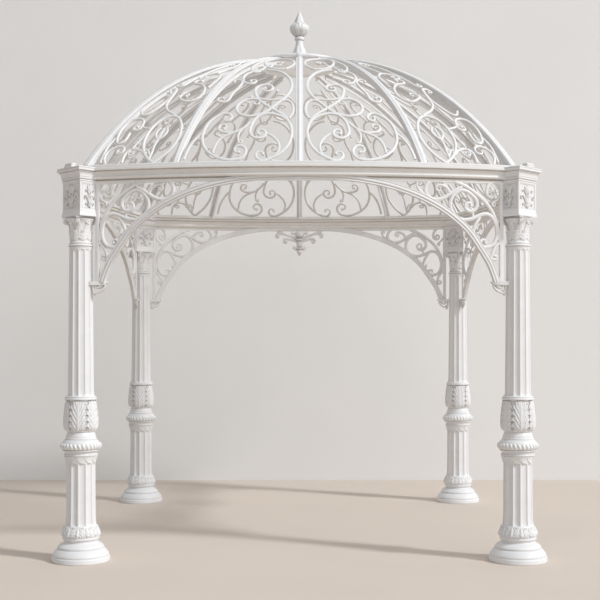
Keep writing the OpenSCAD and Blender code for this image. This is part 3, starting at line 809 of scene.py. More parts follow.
# %% [markdown]
# ## Bulb and tall shaft
# Above the carved ring the column draws in at a smooth neck, then swells into a bulb clothed
# in six broad acanthus leaves. They lie close, edge to edge, with a row of small beads in
# each seam between two leaves. A collar ends the bulb, and the tall fluted shaft, slightly
# slimmer at its top, rises from it to the astragal.

# %% Bulb and shaft
LEAF_BED = 8
FLUTE_LOW, FLUTE_TOP = 1052, 1990
bulb_outline = [(94, 837), (101, 844), (106, 856), (108.5, 874), (109, 898), (107, 928),
                (103.5, 962), (99.5, 996), (96, 1016), (95, 1026)]
bulb = [(1, 778), (98, 778), (100, 780), (100, 785), (97, 788)]
bulb += curve_through([(96, 790), (95, 799), (91, 811), (86, 821), (84, 826)], 4)
bulb += [(86, 828), (91, 829), (93, 832), (93, 836)]
bulb += curve_through([(r - LEAF_BED, z) for r, z in bulb_outline], 4)
bulb += [(94, 1028)] + bead(97, 1029, 1043, 6) + [(97, 1044), (98, 1046), (98, 1051), (95, 1054)]
bulb += [(80, 1055), (1, 1056)]
shaft_parts = [turned_part("bulb", bulb)]
slope = (74 - 83) / (SHAFT_TOP - 1090)
rise = [(90, 1050)]
for height in shaft_heights(FLUTE_LOW, FLUTE_TOP, 28):
    rise.append((83 + slope * (height - 1090) + 5 * math.exp(-(height - 1051) / 9), height))
rise += [(75, 1998), (77, SHAFT_TOP - 2), (77, SHAFT_TOP)]
shaft_parts.append(fluted_part("tall_shaft", rise, FLUTE_LOW, FLUTE_TOP, depth=7))
clasp = leaf("clasp", bulb_outline, 55, lobes=5, rows=70, across=23, thick=0.5, rib=4.0,
             relief=9.0, notch=0.24, slant=0.60, blunt=0.25, root=0.86, widest=0.25,
             sunk=LEAF_BED + 3, nip=0.5)
shaft_parts.append(ring(clasp, 6, column_paint, 30))
for eye_r, eye_z in ((106, 868), (106, 904), (102, 940), (97, 976), (93, 1006)):
    pearl = small_bud("pearl", ((eye_r - 3, 0, eye_z), (1, 0, 0.1)), 6.5, 7, 8, 3)
    shaft_parts.append(ring(pearl, 6, column_paint, 0))
shaft = joined("shaft", shaft_parts)
print("shaft faces:", len(shaft.polygons))

# %% [markdown]
# ## Capital
# The capital is a small Corinthian one: two beads, a bell clothed in low leaves, and a
# rolled volute under each corner of a thin hollow-sided slab, with a rosette between each
# pair. The volutes are bars along a spiral, so they come from the bar tree, standing on edge
# under the corners, and a lens-shaped hub closes each roll.

# %% Capital
bell = [(1, SHAFT_TOP), (74, SHAFT_TOP), (77, 2007)] + bead(74, 2008, 2022, 7)
bell += [(72, 2024)] + bead(71, 2026, 2036, 4) + [(69, 2039), (66, 2043), (66, 2090)]
bell += curve_through([(66, 2095), (69, 2130), (76, 2158), (90, 2178)], 4)
bell += [(92, 2184), (60, 2186), (1, 2186)]
capital_parts = [turned_part("bell", bell, 64)]
low_leaf = leaf("low_leaf", [(66, 2043), (69, 2056), (70, 2076), (72, 2094), (76, 2104), (78, 2101)],
                29, lobes=3, rows=20, across=11, thick=2.5, rib=2.5, relief=4, notch=0.22)
high_leaf = leaf("high_leaf", [(67, 2060), (69, 2090), (71, 2116), (75, 2138), (82, 2152), (85, 2148)],
                 27, lobes=4, rows=26, across=11, thick=2.5, rib=2.5, relief=4, notch=0.22)
capital_parts.append(ring(low_leaf, 8, column_paint, 22.5))
capital_parts.append(ring(high_leaf, 8, column_paint, 0))
volute_line = scroll([(66, 2098), (70, 2130), (75, 2155), (80, 2171)], end=(18, 5, -500), step=6)
hub = (97.5, 0, 2165)
volute = []
for side in (-1, 1):
    line = [(u, side * 5, z) for u, z in volute_line]
    sizes = [1.0 - 0.35 * i / len(line) for i in range(len(line))]
    volute.append((line, [(0, side, 0)] * len(line), sizes))
volute_parts = [bars("volute", volute, 9, 13, column_paint)]
for side in (-1, 1):
    volute_parts.append(small_bud("hub", (hub, (0, side, 0)), 15, 9, 12, 4))
    volute_parts.append(small_bud("eye", (hub, (0, side, 0)), 6, 14, 10, 4))
capital_parts.append(ring(joined("volute", volute_parts), 4, column_paint, 0))
rosette_parts = [small_bud("rosette", ((80, 0, 2166), (1, 0, 0.15)), 8, 12)]
for k in range(6):
    turn = math.radians(60 * k)
    spot = (79 - 2.5 * math.sin(turn), 11 * math.cos(turn), 2166 + 11 * math.sin(turn))
    rosette_parts.append(small_bud("petal", (spot, (1, 0, 0.15)), 8, 7, 8, 3))
capital_parts.append(ring(joined("rosette", rosette_parts), 4, column_paint, 45))
print("a volute has", len(volute_line), "points along its line")


def hollow_slab(reach, hollow, low, high):
    """A square slab with hollowed sides and clipped corners; its corners point along X and Y."""
    outline = []
    for quarter in range(4):
        turn = math.radians(90 * quarter)
        points = [(reach, -9), (reach, 9)]
        for i in range(1, 8):
            t = i / 8
            x, y = reach * (1 - t), reach * t
            pull = hollow * math.sin(math.pi * t) / math.sqrt(2)
            points.append((x - pull, y - pull))
        outline += [(x * math.cos(turn) - y * math.sin(turn), x * math.sin(turn) + y * math.cos(turn))
                    for x, y in points]
    rows = []
    for grow, z in ((0.92, low), (0.94, low + 2), (0.97, low + 5), (1, low + 6), (1, high - 4),
                    (0.985, high - 3), (0.94, high - 2.5), (0.94, high)):
        rows.append([(x * grow, y * grow, z) for x, y in outline])
    return loft("slab", rows)


capital_parts.append(hollow_slab(118, 16, 2183, BLOCK_LOW + 1))
capital = joined("capital", capital_parts)
print("capital faces:", len(capital.polygons))

# %% [markdown]
# ## Corner block
# The block over each capital stands corner-on, and is a little wider across its outer face
# than it is deep. It has a stepped base, a die with a sunk and framed panel on each face, a
# cornice, and a small double plate on top of its outer edge. The ornament in each panel is
# a lily: tall petals, a pair of curled ones, and leaves that run together at the stalk. It is
# drawn once, and drawn narrower for the narrow faces.

# %% Oblong stepped parts
def oblong_part(name, profile, deep, wide, soft=2.5):
    """A profile of (step out, height) run round an oblong that stands corner-on."""
    rows = []
    u, v = (math.sqrt(0.5), math.sqrt(0.5)), (-math.sqrt(0.5), math.sqrt(0.5))
    for out, height in profile:
        a, b = deep + out, wide + out
        cut, tip = min(soft, a, b), 0.3 * min(soft, a, b)
        spots = [(a, cut - b), (a, b - cut), (a - tip, b - tip), (a - cut, b), (cut - a, b),
                 (tip - a, b - tip), (-a, b - cut), (-a, cut - b), (tip - a, tip - b),
                 (cut - a, -b), (a - cut, -b), (a - tip, tip - b)]
        rows.append([(p * u[0] + q * v[0], p * u[1] + q * v[1], height) for p, q in spots])
    return loft(name, rows)


DEEP, WIDE = 72, 97
DIE_LOW, DIE_TOP = 2234, 2418
MIDDLE = (DIE_LOW + DIE_TOP) / 2
base_steps = [(-30, BLOCK_LOW), (5, BLOCK_LOW), (6.5, BLOCK_LOW + 1), (6.5, BLOCK_LOW + 10)]
base_steps += [(6.5 - 4.5 * math.sin(math.pi * i / 8), 2209 + 5 * i) for i in range(1, 5)]
base_steps += [(2, 2233), (0.5, 2235), (-30, 2236)]
cornice = [(-30, 2416), (1, 2417), (4, 2419), (5, 2422), (4, 2425), (1, 2427), (-1, 2429)]
cornice += [(1, 2431), (6, 2433), (8, 2435), (8, 2440), (5, 2442), (5, 2444), (8, 2446)]
cornice += [(8 + 14 * (1 - math.cos(math.pi * i / 16)), 2446 + 31 * math.sin(math.pi * i / 16))
            for i in range(1, 9)]
cornice += [(18, 2479), (17, 2481), (18, 2483), (26, 2484), (28, 2486), (28, 2496), (25, 2498)]
cornice += [(25, 2500), (28, 2502), (28, 2505), (26, 2508), (-30, 2508)]
print("cornice rises", round(cornice[-1][1] - cornice[0][1]), "mm")

# %% The die and its sunk panels
def die_face(face, half):
    """A face of the die in its own plane, at distance face and as wide as twice half."""
    rings = []
    tall = (DIE_TOP - DIE_LOW) / 2
    for cut, out in ((0, 0), (11, 0), (12.5, -2.5), (15, -2.5), (16.5, -0.5), (18, -3.5), (20, -4)):
        low, high, wide = MIDDLE - tall + cut, MIDDLE + tall - cut, half - cut
        rings.append([(face + out, -wide, low), (face + out, wide, low),
                      (face + out, wide, high), (face + out, -wide, high)])
    points = [p for r in rings for p in r]
    faces = []
    for i in range(len(rings) - 1):
        for k in range(4):
            a, b = i * 4 + k, i * 4 + (k + 1) % 4
            faces.append((a, b, b + 4, a + 4))
    last = (len(rings) - 1) * 4
    faces.append((last, last + 1, last + 2, last + 3))
    return mesh_of("die_face", points, faces)


def lily(face, stretch):
    """The relief in a panel, drawn as (across, up) from the panel's middle."""
    lines = [
        (scroll([(3, -70), (12, -44), (30, -16), (46, 0)], end=(17, 5, -320), step=5), 1.0),
        (scroll([(4, -66), (20, -58), (38, -46)], end=(10, 4, -280), step=4), 0.8),
        (scroll([(6, -14), (14, 14), (30, 34), (44, 40)], end=(9, 4, -260), step=4), 0.75),
    ]
    paths = []
    for line, size in lines:
        for side in (-1, 1):
            points = [(face, side * y * stretch, MIDDLE + z) for y, z in line]
            sizes = [size * (1.15 - 0.6 * i / len(line)) for i in range(len(line))]
            paths.append((points, [(1, 0, 0)] * len(points), sizes))
    parts = [bars("lily", paths, 4 + 7 * stretch, 15, column_paint, 0.4)]
    petals = [(0, 44, 10, 30, 0), (17, 40, 10, 31, -20), (-17, 40, 10, 31, 20), (0, 2, 20, 6, 0),
              (0, -36, 8, 34, 0), (14, -24, 8, 28, -24), (-14, -24, 8, 28, 24),
              (47, -4, 8, 8, 0), (-47, -4, 8, 8, 0)]
    for y, z, wide, high, lean in petals:
        petal = small_bud("petal", ((0, 0, 0), (1, 0, 0)), 1, 1, 10, 4)
        petal.transform(Matrix.Translation(Vector((face - 4, y * stretch, MIDDLE + z)) * MM)
                        @ Matrix.Rotation(math.radians(lean * stretch), 4, "X")
                        @ Matrix.Diagonal((14, wide * (0.4 + 0.6 * stretch), high, 1)))
        parts.append(petal)
    return joined("lily", parts)


outer_panel = joined("outer_panel", [die_face(DEEP, WIDE), lily(DEEP, 1.0)])
side_panel = joined("side_panel", [die_face(WIDE, DEEP), lily(WIDE, 0.55)])
block_parts = [oblong_part("base_steps", base_steps, DEEP, WIDE)]
block_parts.append(oblong_part("cornice", cornice, DEEP, WIDE))
block_parts.append(ring(outer_panel, 2, column_paint, 45))
block_parts.append(ring(side_panel, 2, column_paint, 135))
cap = [(-8, 2507), (-1, 2508), (0, 2509), (0, 2517), (-2, 2519), (-6, 2520), (-6, 2523), (-4, 2524)]
cap += [(-4, CAP_TOP - 2), (-6, CAP_TOP), (-14, CAP_TOP)]
cap_mesh = oblong_part("cap", cap, 22, 42)
cap_mesh.transform(Matrix.Translation(Vector((-56, -56, 0)) * MM))
block_parts.append(cap_mesh)
block = joined("block", block_parts)
print("block faces:", len(block.polygons))

# %% Columns at the four corners
column_castings = [("pedestal", pedestal, "leafy_pedestal"), ("shaft", shaft, "fluted_shaft"),
                   ("capital", capital, "leaf_capital"), ("block", block, "panelled_block")]
for node, mesh, word in column_castings:
    finish_mesh(mesh, column_paint)
    for step, corner in enumerate(CORNERS):
        axis = spin_to(step) @ Vector((-HALF, -HALF, 0)) * MM
        turn = spin_to(step) if node == "block" else Matrix.Identity(4)
        place(f"{word}_{corner}", moved(mesh, Matrix.Translation(axis) @ turn), [f"{node}_{corner}"])
print("placed", len(made), "column castings,", sum(faces for _, faces in made), "triangles")

# %% [markdown]
# ## Ring beam
# Each side of the gazebo bows outwards a little, so its beam is one section carried along an
# arc between two blocks: a strip below, a cove and a fillet as cornice, and the flat bar that
# the dome's ribs stand on. The section is drawn once, as distance outwards and height.

# %% The bow of a side
def on_bow(x, offset=0.0):
    """Where a side's middle line stands at x, and which way is out."""
    y = -BOW_Y - math.sqrt(BOW_R ** 2 - x ** 2)
    out = Vector((x, y + BOW_Y, 0)).normalized()
    return x + out.x * offset, y + out.y * offset, out


def bow_path(start, end, height, step=40):
    line, outs = [], []
    count = round(abs(end - start) / step)
    for i in range(count + 1):
        x, y, out = on_bow(start + (end - start) * i / count)
        line.append((x, y, height))
        outs.append(tuple(out))
    return line, outs, [1.0] * len(line)


cheek = [(22, 2434), (26, 2436), (29, 2440), (30, 2445), (28, 2449), (24, 2451), (23, 2454)]
cheek += [(24 + 16 * (1 - math.cos(math.pi * i / 12)), 2455 + 24 * math.sin(math.pi * i / 12))
          for i in range(1, 7)]
cheek += [(37, 2481), (35, 2484), (37, 2487), (46, 2487), (48, 2489), (48, 2502), (46, 2505)]
beam_section = [(-9, 2405), (7, 2405), (9, 2407), (9, 2423), (7, 2425), (2, 2426), (0, 2430),
                (2, 2433)] + cheek
beam_section += [(0, 2507), (-2, 2509), (-2, 2526), (-5, 2530), (-59, 2530), (-62, 2527),
                 (-62, 2509), (-60, 2507)]
beam_section += [(-out, z) for out, z in reversed(cheek)] + [(-11, 2433), (-9, 2430), (-9, 2425)]
END_IN_BLOCK = 52
beam = mouldings("beam", [bow_path(END_IN_BLOCK - HALF, HALF - END_IN_BLOCK, 0)],
                 [(out, -z) for out, z in beam_section], beam_paint)
finish_mesh(beam, beam_paint, 30)
place_round("ring_beam", beam, "beam", SIDES)
print("beam from", round(min(v.co.z for v in beam.vertices), 3), "to",
      round(max(v.co.z for v in beam.vertices), 3), "m")

# %% [markdown]
# ## Arched brackets
# Two brackets meet at the middle of each side and make its arch. They are flat castings that
# follow the bow: a moulded arch bar below, an upright against the column, and scrolls that
# fill the corner between them. The scrolls are drawn in elevation, as distance from the
# column's axis and height, then bent onto the bow. Their eyes end in small buttons.

# %% Drawing in elevation
def bent(line, offset=0.0):
    points, outs = [], []
    for u, z in line:
        x, y, out = on_bow(u - HALF, offset)
        points.append((x, y, z))
        outs.append(tuple(out))
    return points, outs


def taper(line, head, tail, thin=0.55, over=110):
    """Full size along the body, thinner towards an end that curls into an eye."""
    lengths = lengths_along(line)
    sizes = []
    for s in lengths:
        size = 1.0
        if head:
            size = min(size, thin + (1 - thin) * min(1, s / over))
        if tail:
            size = min(size, thin + (1 - thin) * min(1, (lengths[-1] - s) / over))
        sizes.append(size)
    return sizes


def scroll_paths(drawn, lay):
    """Draw scrolls and lay them on a surface; gives the paths and where their eyes are."""
    paths, eyes = [], []
    for points, start, end, size in drawn:
        line = scroll(points, start, end)
        places, outs = lay(line)
        sizes = [size * s for s in taper(line, start, end)]
        paths.append((places, outs, sizes))
        if start:
            eyes.append((places[0], outs[0], size))
        if end:
            eyes.append((places[-1], outs[-1], size))
    return paths, eyes


def eye_buds(eyes, radius, height):
    return [small_bud("eye", (spot, out), radius * size, height, 8, 3)
            for spot, out, size in eyes]


arch_line = [(140, 1782), (163, 1846), (190, 1908), (250, 1998), (317, 2094), (400, 2172),
             (510, 2250), (640, 2316), (775, 2364), (910, 2398), (1100, 2425), (1400, 2438)]
bracket_scrolls = [
    ([(294, 2318), (333, 2349), (385, 2360), (437, 2314), (450, 2257), (418, 2195), (366, 2171),
      (307, 2179), (254, 2205), (201, 2213), (161, 2176), (141, 2113), (148, 2049), (174, 2010),
      (212, 2000)], (64, 12, 430), (36, 9, 330), 1.0),
    ([(579, 2411), (605, 2386), (611, 2342), (592, 2311), (541, 2293), (489, 2307), (450, 2333),
      (411, 2359), (372, 2379)], None, None, 1.0),
    ([(452, 2340), (470, 2374), (508, 2388)], None, (27, 8, -330), 0.8),
    ([(418, 2410), (353, 2386), (287, 2344), (221, 2289), (174, 2227), (141, 2145), (126, 2040)],
     None, None, 1.0),
    ([(254, 2192), (284, 2145), (298, 2095)], None, (22, 8, -230), 0.9),
    ([(124, 2034), (160, 1996), (176, 1950)], None, (24, 8, -330), 0.9),
    ([(180, 2411), (206, 2388), (210, 2352)], None, (34, 9, -380), 0.9),
    ([(318, 2262), (300, 2220), (300, 2184)], None, None, 0.7),
    ([(616, 2330), (650, 2350), (662, 2384)], None, (18, 7, 300), 0.75),
    ([(126, 2330), (142, 2300), (166, 2286)], None, (14, 6, -280), 0.7),
]
print("scrolls in a bracket:", len(bracket_scrolls))

# %% The bracket casting
arch_band = eased(even_steps(curve_through(arch_line, 10), 22), 3)
arch_places, arch_outs = bent(arch_band)
arch_section = [(-15, -21), (10, -21), (12, -19), (12, -14), (11, -12), (10, -11), (10, -10),
                (12, -8), (14, -5), (15, 0), (14, 5), (12, 8), (10, 10), (10, 11), (11, 12),
                (12, 14), (12, 19), (10, 21), (-15, 21), (-17, 19), (-17, -19)]
arch = mouldings("arch", [(arch_places, arch_outs, [1.0] * len(arch_places))],
                 arch_section, scroll_paint)
paths, eyes = scroll_paths(bracket_scrolls, bent)
scrolls = bars("bracket_scrolls", paths, 26, 23, scroll_paint, 0.5)
upright_line = [(113, z) for z in (1784, 1850, 1950, 2050, 2150, 2250, 2350, 2410)]
upright_places, upright_outs = bent(upright_line)
upright = bars("upright", [(upright_places, upright_outs, [1.0] * len(upright_line))], 27, 20,
               scroll_paint, 0.2)
bracket_parts = [arch, scrolls, upright] + eye_buds(eyes, 11, 10)
print("arch bar points:", len(arch_band))

# %% The corbel that carries the arch
shelf_section = [(66, 1762), (164, 1762), (166, 1764), (166, 1768), (168, 1770), (172, 1773),
                 (176, 1776), (180, 1778), (180, 1783), (178, 1785), (66, 1786)]


def corbel_mesh():
    rows = []
    for y, grow in ((-32, -3), (-30, 0), (4, 0), (6, -3)):
        rows.append([(u + (grow if u > 70 else 0) - HALF, y - HALF - 16, z) for u, z in shelf_section])
    shelf = loft("shelf", rows)
    lines = [scroll([(162, 1764), (154, 1742), (132, 1722), (104, 1712)], None, (12, 5, -300), 5),
             scroll([(146, 1764), (134, 1748), (116, 1744)], None, (12, 5, -260), 5),
             [(86, 1764), (85, 1748), (85, 1728), (88, 1714)]]
    paths = []
    for line in lines:
        places = [(u - HALF, -HALF - 28, z) for u, z in line]
        sizes = [1 - 0.4 * i / len(line) for i in range(len(line))]
        paths.append((places, [(0, -1, 0)] * len(line), sizes))
    knob = small_bud("knob", ((94 - HALF, -HALF - 28, 1708), (0, 0, -1)), 10, 13)
    return [shelf, bars("corbel_scroll", paths, 14, 30, scroll_paint, 0.2), knob]


bracket_parts += corbel_mesh()
bracket = joined("bracket", bracket_parts)
finish_mesh(bracket, scroll_paint)
flipped = moved(bracket, Matrix.Diagonal((-1, 1, 1, 1)))
flipped.flip_normals()
for step, side in enumerate(SIDES):
    left, right = SIDES[step - 1], SIDES[(step + 1) % 4]
    place(f"scroll_bracket_{side}_{left}", moved(bracket, spin_to(step)), [f"spandrel_{side}_{left}"])
    place(f"scroll_bracket_{side}_{right}", moved(flipped, spin_to(step)), [f"spandrel_{side}_{right}"])
print("bracket faces:", len(bracket.polygons))

# %% [markdown]
# ## Pendants
# A small turned drop hangs under the middle of the back and of each side, with a pair of
# scrolled arms that tie it to the beam. It is turned like a chess pawn, upside down.

# %% The pendant casting
drop = [(1, 2183), (8, 2190), (18, 2206), (23, 2220), (23, 2230), (16, 2240)]
drop += bead(17, 2242, 2258, 14) + [(18, 2260), (26, 2278), (28, 2294), (24, 2308), (18, 2316)]
drop += bead(20, 2318, 2338, 14) + [(18, 2342)]
drop += curve_through([(22, 2344), (34, 2356), (40, 2374), (36, 2392), (24, 2402)], 3)
drop += [(22, STRIP_LOW + 2), (1, STRIP_LOW + 3)]
pendant_drawn = [
    ([(6, 2322), (50, 2352), (100, 2368), (150, 2386), (200, 2404)], None, None, 1.0),
    ([(6, 2306), (60, 2326), (112, 2338)], None, (27, 8, -330), 0.95),
    ([(140, 2380), (190, 2382)], None, (22, 8, -330), 0.85),
    ([(4, 2240), (30, 2232), (48, 2246)], None, (13, 6, 260), 0.95),
    ([(20, 2398), (38, 2384), (56, 2380)], None, (12, 5, 260), 0.7),
]
front = -BOW_Y - BOW_R


def hung(side):
    def lay(line):
        return [(side * u, front, z) for u, z in line], [(0, -1, 0)] * len(line)
    return lay


pendant_parts = [turned_part("drop", drop, 32)]
pendant_parts[0].transform(Matrix.Translation((0, front * MM, 0)))
for side in (-1, 1):
    paths, eyes = scroll_paths(pendant_drawn, hung(side))
    pendant_parts.append(bars("arms", paths, 24, 22, scroll_paint, 0.5))
    pendant_parts += eye_buds(eyes, 16, 15)
pendant = joined("pendant", pendant_parts)
finish_mesh(pendant, scroll_paint)
place_round("drop_pendant", pendant, "pendant", SIDES[1:], first=1)
print("pendant faces:", len(pendant.polygons))

# %% [markdown]
# ## The dome's ribs
# Sixteen ribs stand on the beam and lean together under the crown: one over each corner and
# three on each side. Every rib is an arc in an upright plane through the gazebo's middle,
# but the beam is nearer at the middle of a side than at a corner, so each has its own radius.
# Three numbers fix an arc: where it starts, where it ends, and how far its centre lies down.

# %% Rib arcs
SILL_R = BOW_R - 32
CROWN_R = 293
RISE = CROWN_Z - DOME_Z
MID_AZ = 27.5
RIB_SUNK = 4


def base_r(az):
    a = math.radians(az)
    return math.cos(a) * BOW_Y + math.sqrt(SILL_R ** 2 - (BOW_Y * math.sin(a)) ** 2)


def arc_of(az):
    """Radius of the arc, drop of its centre below the beam, and its first and last angle."""
    base = base_r(az)
    drop = (base ** 2 - CROWN_R ** 2 - RISE ** 2) / (2 * RISE)
    radius = math.hypot(base, drop)
    return radius, drop, math.atan2(drop, base), math.acos(CROWN_R / radius)


def on_dome(az, up, lift=0.0):
    radius, drop, start, _ = arc_of(az)
    turn = start + up / radius
    a = math.radians(az)
    reach = (radius + lift) * math.cos(turn)
    out = Vector((math.cos(turn) * math.sin(a), -math.cos(turn) * math.cos(a), math.sin(turn)))
    return (reach * math.sin(a), -reach * math.cos(a),
            DOME_Z - drop + (radius + lift) * math.sin(turn)), tuple(out)


def rib_path(az, steps=44):
    radius, _, start, end = arc_of(az)
    spots = [on_dome(az, (end - start) * radius * i / steps) for i in range(steps + 1)]
    (x, y, z), out = spots[0]
    spots.insert(0, ((x, y, z - RIB_SUNK), out))
    return [spot for spot, _ in spots], [out for _, out in spots], [1.0] * len(spots)


def rib_section(wide):
    """A moulded flange over a thin web with a bead along its inner edge."""
    web = [(-44, 5), (-42, 7.5), (-39, 7.5), (-37, 5), (-7, 5)]
    flange = [(-7, wide), (4, wide), (6.5, wide - 2), (6.5, wide * 0.62), (8.5, wide * 0.56),
              (9, wide * 0.44), (11, wide * 0.30), (13.5, wide * 0.14)]
    half_section = web + flange
    return half_section + [(out, -across) for out, across in reversed(half_section)]


# The ribs take the cooler column paint, a painted tint for the sky light on the dome.
hip = mouldings("hip", [rib_path(-45)], rib_section(28), column_paint)
finish_mesh(hip, column_paint, 32)
side_ribs = mouldings("side_ribs", [rib_path(az) for az in (-MID_AZ, 0, MID_AZ)],
                      rib_section(24), column_paint)
finish_mesh(side_ribs, column_paint, 32)
for step, corner in enumerate(CORNERS):
    place(f"hip_rib_{corner}_bar", moved(hip, spin_to(step)), [f"hip_rib_{corner}"])
place_round("side_ribs", side_ribs, "ribs", SIDES)
print("hip arc radius", round(arc_of(45)[0]), "side arc radius", round(arc_of(0)[0]))

# %% [markdown]
# ## Scrollwork of the dome
# Between two ribs the dome is filled with flat scrolls. They are drawn on the unrolled panel,
# as distance along from the left-hand rib and distance up it, and laid on the curved surface
# by turning that distance into an angle. The left half of a side is the mirror of the right.
# The large C, the S that crosses it and the oval under the crown set the rhythm; smaller bars
# branch off them.

# %% Scrolls beside the middle rib
inner_scrolls = [
    ([(205, 12), (132, 52), (80, 112), (52, 190), (52, 277), (84, 351), (138, 392), (204, 410),
      (262, 388), (302, 330), (318, 262)], (60, 13, 300), (74, 14, -430), 1.0),
    ([(200, 222), (156, 184), (128, 130), (130, 84), (150, 45)], None, None, 0.85),
    ([(66, 330), (98, 385), (140, 425), (190, 470), (240, 522), (280, 584), (296, 665)],
     None, (84, 18, 430), 1.0),
    ([(222, 1018), (150, 982), (98, 914), (58, 811), (52, 700), (78, 606), (126, 535),
      (184, 460), (228, 418), (276, 393), (329, 388), (378, 402), (414, 446), (414, 500),
      (380, 548), (330, 576), (288, 570)], None, (42, 14, 230), 1.0),
    ([(112, 566), (167, 554), (225, 560), (282, 590)], None, None, 0.8),
    ([(165, 478), (127, 535), (85, 549), (52, 525), (40, 470), (42, 410), (66, 356)],
     None, None, 0.9),
    ([(318, 330), (352, 285), (395, 250), (443, 236), (495, 244)], None, (48, 13, 350), 0.95),
    ([(400, 248), (456, 225), (509, 193), (547, 135), (562, 66)], None, None, 0.85),
    ([(372, 262), (396, 220), (392, 160)], None, (16, 7, -240), 0.8),
    ([(395, 18), (448, 12), (515, 28), (572, 60), (618, 108), (642, 175), (640, 246), (616, 322),
      (576, 378), (525, 416)], (72, 16, -380), (60, 14, 360), 1.0),
    ([(636, 250), (690, 196), (736, 118), (765, 24)], None, None, 0.9),
    ([(95, 1020), (50, 1084), (36, 1170), (62, 1290), (148, 1380), (221, 1350), (246, 1240),
      (235, 1140), (205, 1062), (150, 1024), (95, 1020)], None, None, 0.95),
    ([(205, 1062), (190, 1130), (170, 1200)], None, (34, 12, 330), 0.8),
    ([(240, 1090), (262, 1030), (320, 1000), (372, 960), (392, 880), (380, 820)],
     (30, 12, 200), (60, 14, -330), 0.95),
    ([(470, 600), (455, 660), (420, 720), (395, 790)], (62, 14, 330), (70, 14, -200), 0.95),
    ([(330, 1010), (340, 1090), (320, 1180), (270, 1280), (215, 1370), (180, 1460)],
     (40, 12, -300), None, 0.9),
]
print("scrolls beside the middle rib:", len(inner_scrolls))

# %% Scrolls beside the hip
outer_scrolls = [
    ([(140, 4), (90, 60), (54, 132), (40, 212), (52, 304), (88, 386), (130, 432), (176, 438),
      (222, 402), (252, 335), (262, 249), (254, 164), (224, 92), (184, 40), (140, 4)],
     None, None, 1.0),
    ([(176, 30), (172, 90), (176, 150), (170, 214)], None, None, 0.8),
    ([(172, 206), (146, 232), (132, 276), (148, 316)], None, None, 0.8),
    ([(172, 206), (196, 236), (206, 284), (188, 322)], None, None, 0.8),
    ([(170, 206), (168, 262), (166, 312)], None, None, 0.7),
    ([(176, 60), (196, 100)], None, (26, 10, -330), 0.7),
    ([(184, 40), (229, 95), (279, 127), (325, 130), (350, 96), (352, 46), (348, 10)],
     None, None, 0.9),
    ([(325, 130), (330, 100)], None, (22, 9, -330), 0.7),
    ([(462, 2), (492, 56), (488, 120), (450, 154)], None, (58, 13, 340), 0.95),
    ([(334, 350), (340, 402), (368, 440), (412, 448), (458, 420), (480, 337), (474, 253),
      (452, 196), (416, 194), (396, 240), (396, 290)], (36, 12, 300), None, 0.95),
    ([(262, 290), (290, 215), (318, 140)], None, None, 0.8),
    ([(262, 320), (300, 330), (330, 350)], None, None, 0.8),
    ([(484, 250), (506, 180), (510, 110), (506, 20)], None, None, 0.8),
    ([(136, 440), (191, 486), (226, 519), (262, 590), (268, 680), (280, 790)],
     None, (46, 14, -300), 0.95),
    ([(196, 660), (140, 606), (100, 606), (70, 628), (58, 673), (72, 760), (122, 845),
      (178, 880)], (46, 13, 300), (50, 13, 300), 0.95),
    ([(420, 540), (392, 486), (362, 486), (326, 530), (290, 610), (276, 720), (292, 820)],
     None, (34, 12, -240), 0.9),
    ([(60, 780), (48, 900), (70, 1000), (120, 1060), (176, 1050)], None, (50, 13, -360), 0.9),
    ([(260, 900), (236, 1000), (206, 1100), (180, 1220), (130, 1330), (80, 1420)],
     (40, 12, 300), None, 0.9),
    ([(110, 1056), (72, 1150), (52, 1240), (70, 1310)], None, (44, 13, -300), 0.9),
]
print("scrolls beside the hip:", len(outer_scrolls))

# %% Laying the scrolls on the dome
def laid(az0, side):
    """Lay (along, up) from the rib at az0; side is 1 for the right half, -1 for the left."""
    def lay(line):
        points, outs = [], []
        for along, up in line:
            az = az0
            for _ in range(2):
                radius, _, start, _ = arc_of(az)
                az = az0 + math.degrees(along / (radius * math.cos(start + up / radius)))
            spot, out = on_dome(side * az, up)
            points.append(spot)
            outs.append(out)
        return points, outs
    return lay


lace_parts = []
for side in (-1, 1):
    for az0, drawn in ((0, inner_scrolls), (MID_AZ, outer_scrolls)):
        paths, eyes = scroll_paths(drawn, laid(az0, side))
        lace_parts.append(bars("dome_scrolls", paths, 21, 18, scroll_paint, 0.5))
        lace_parts += eye_buds(eyes, 11, 9)
lace = joined("lace", lace_parts)
finish_mesh(lace, scroll_paint)
place_round("dome_scrollwork", lace, "lace", SIDES)
print("scrollwork faces on one side:", len(lace.polygons))

# %% [markdown]
# ## Crown and finial
# The ribs end under a turned crown: a plain disc with a rounded edge and a low cone that rises
# to the finial. Four straps run over it, in line with the middle ribs. The finial is a flared
# stem with one collar and a squat bud; two rows of leaves wrap the bud, and a cone closes it.

# %% The crown
crown = [(1, CROWN_Z + 6), (262, CROWN_Z + 6), (268, CROWN_Z - 8), (282, CROWN_Z - 10)]
crown += [(286, CROWN_Z - 6), (286, CROWN_Z + 13), (299, CROWN_Z + 14)]
crown += bead(303, CROWN_Z + 16, CROWN_Z + 34, 6)
crown += [(300, CROWN_Z + 38), (280, CROWN_Z + 44), (210, CROWN_Z + 58), (140, CROWN_Z + 70)]
crown += cove(130, CROWN_Z + 72, 62, CROWN_Z + 97, 6)
crown += [(56, CROWN_Z + 99), (1, CROWN_Z + 99)]
crown_parts = [turned_part("crown", crown, 128)]
strap = [(56, CROWN_Z + 106), (90, CROWN_Z + 86), (140, CROWN_Z + 73), (210, CROWN_Z + 61),
         (280, CROWN_Z + 47), (300, CROWN_Z + 40), (309, CROWN_Z + 25), (306, CROWN_Z + 8),
         (296, CROWN_Z - 14)]
strap_line = [(0, -r, z) for r, z in strap]
strap_outs = []
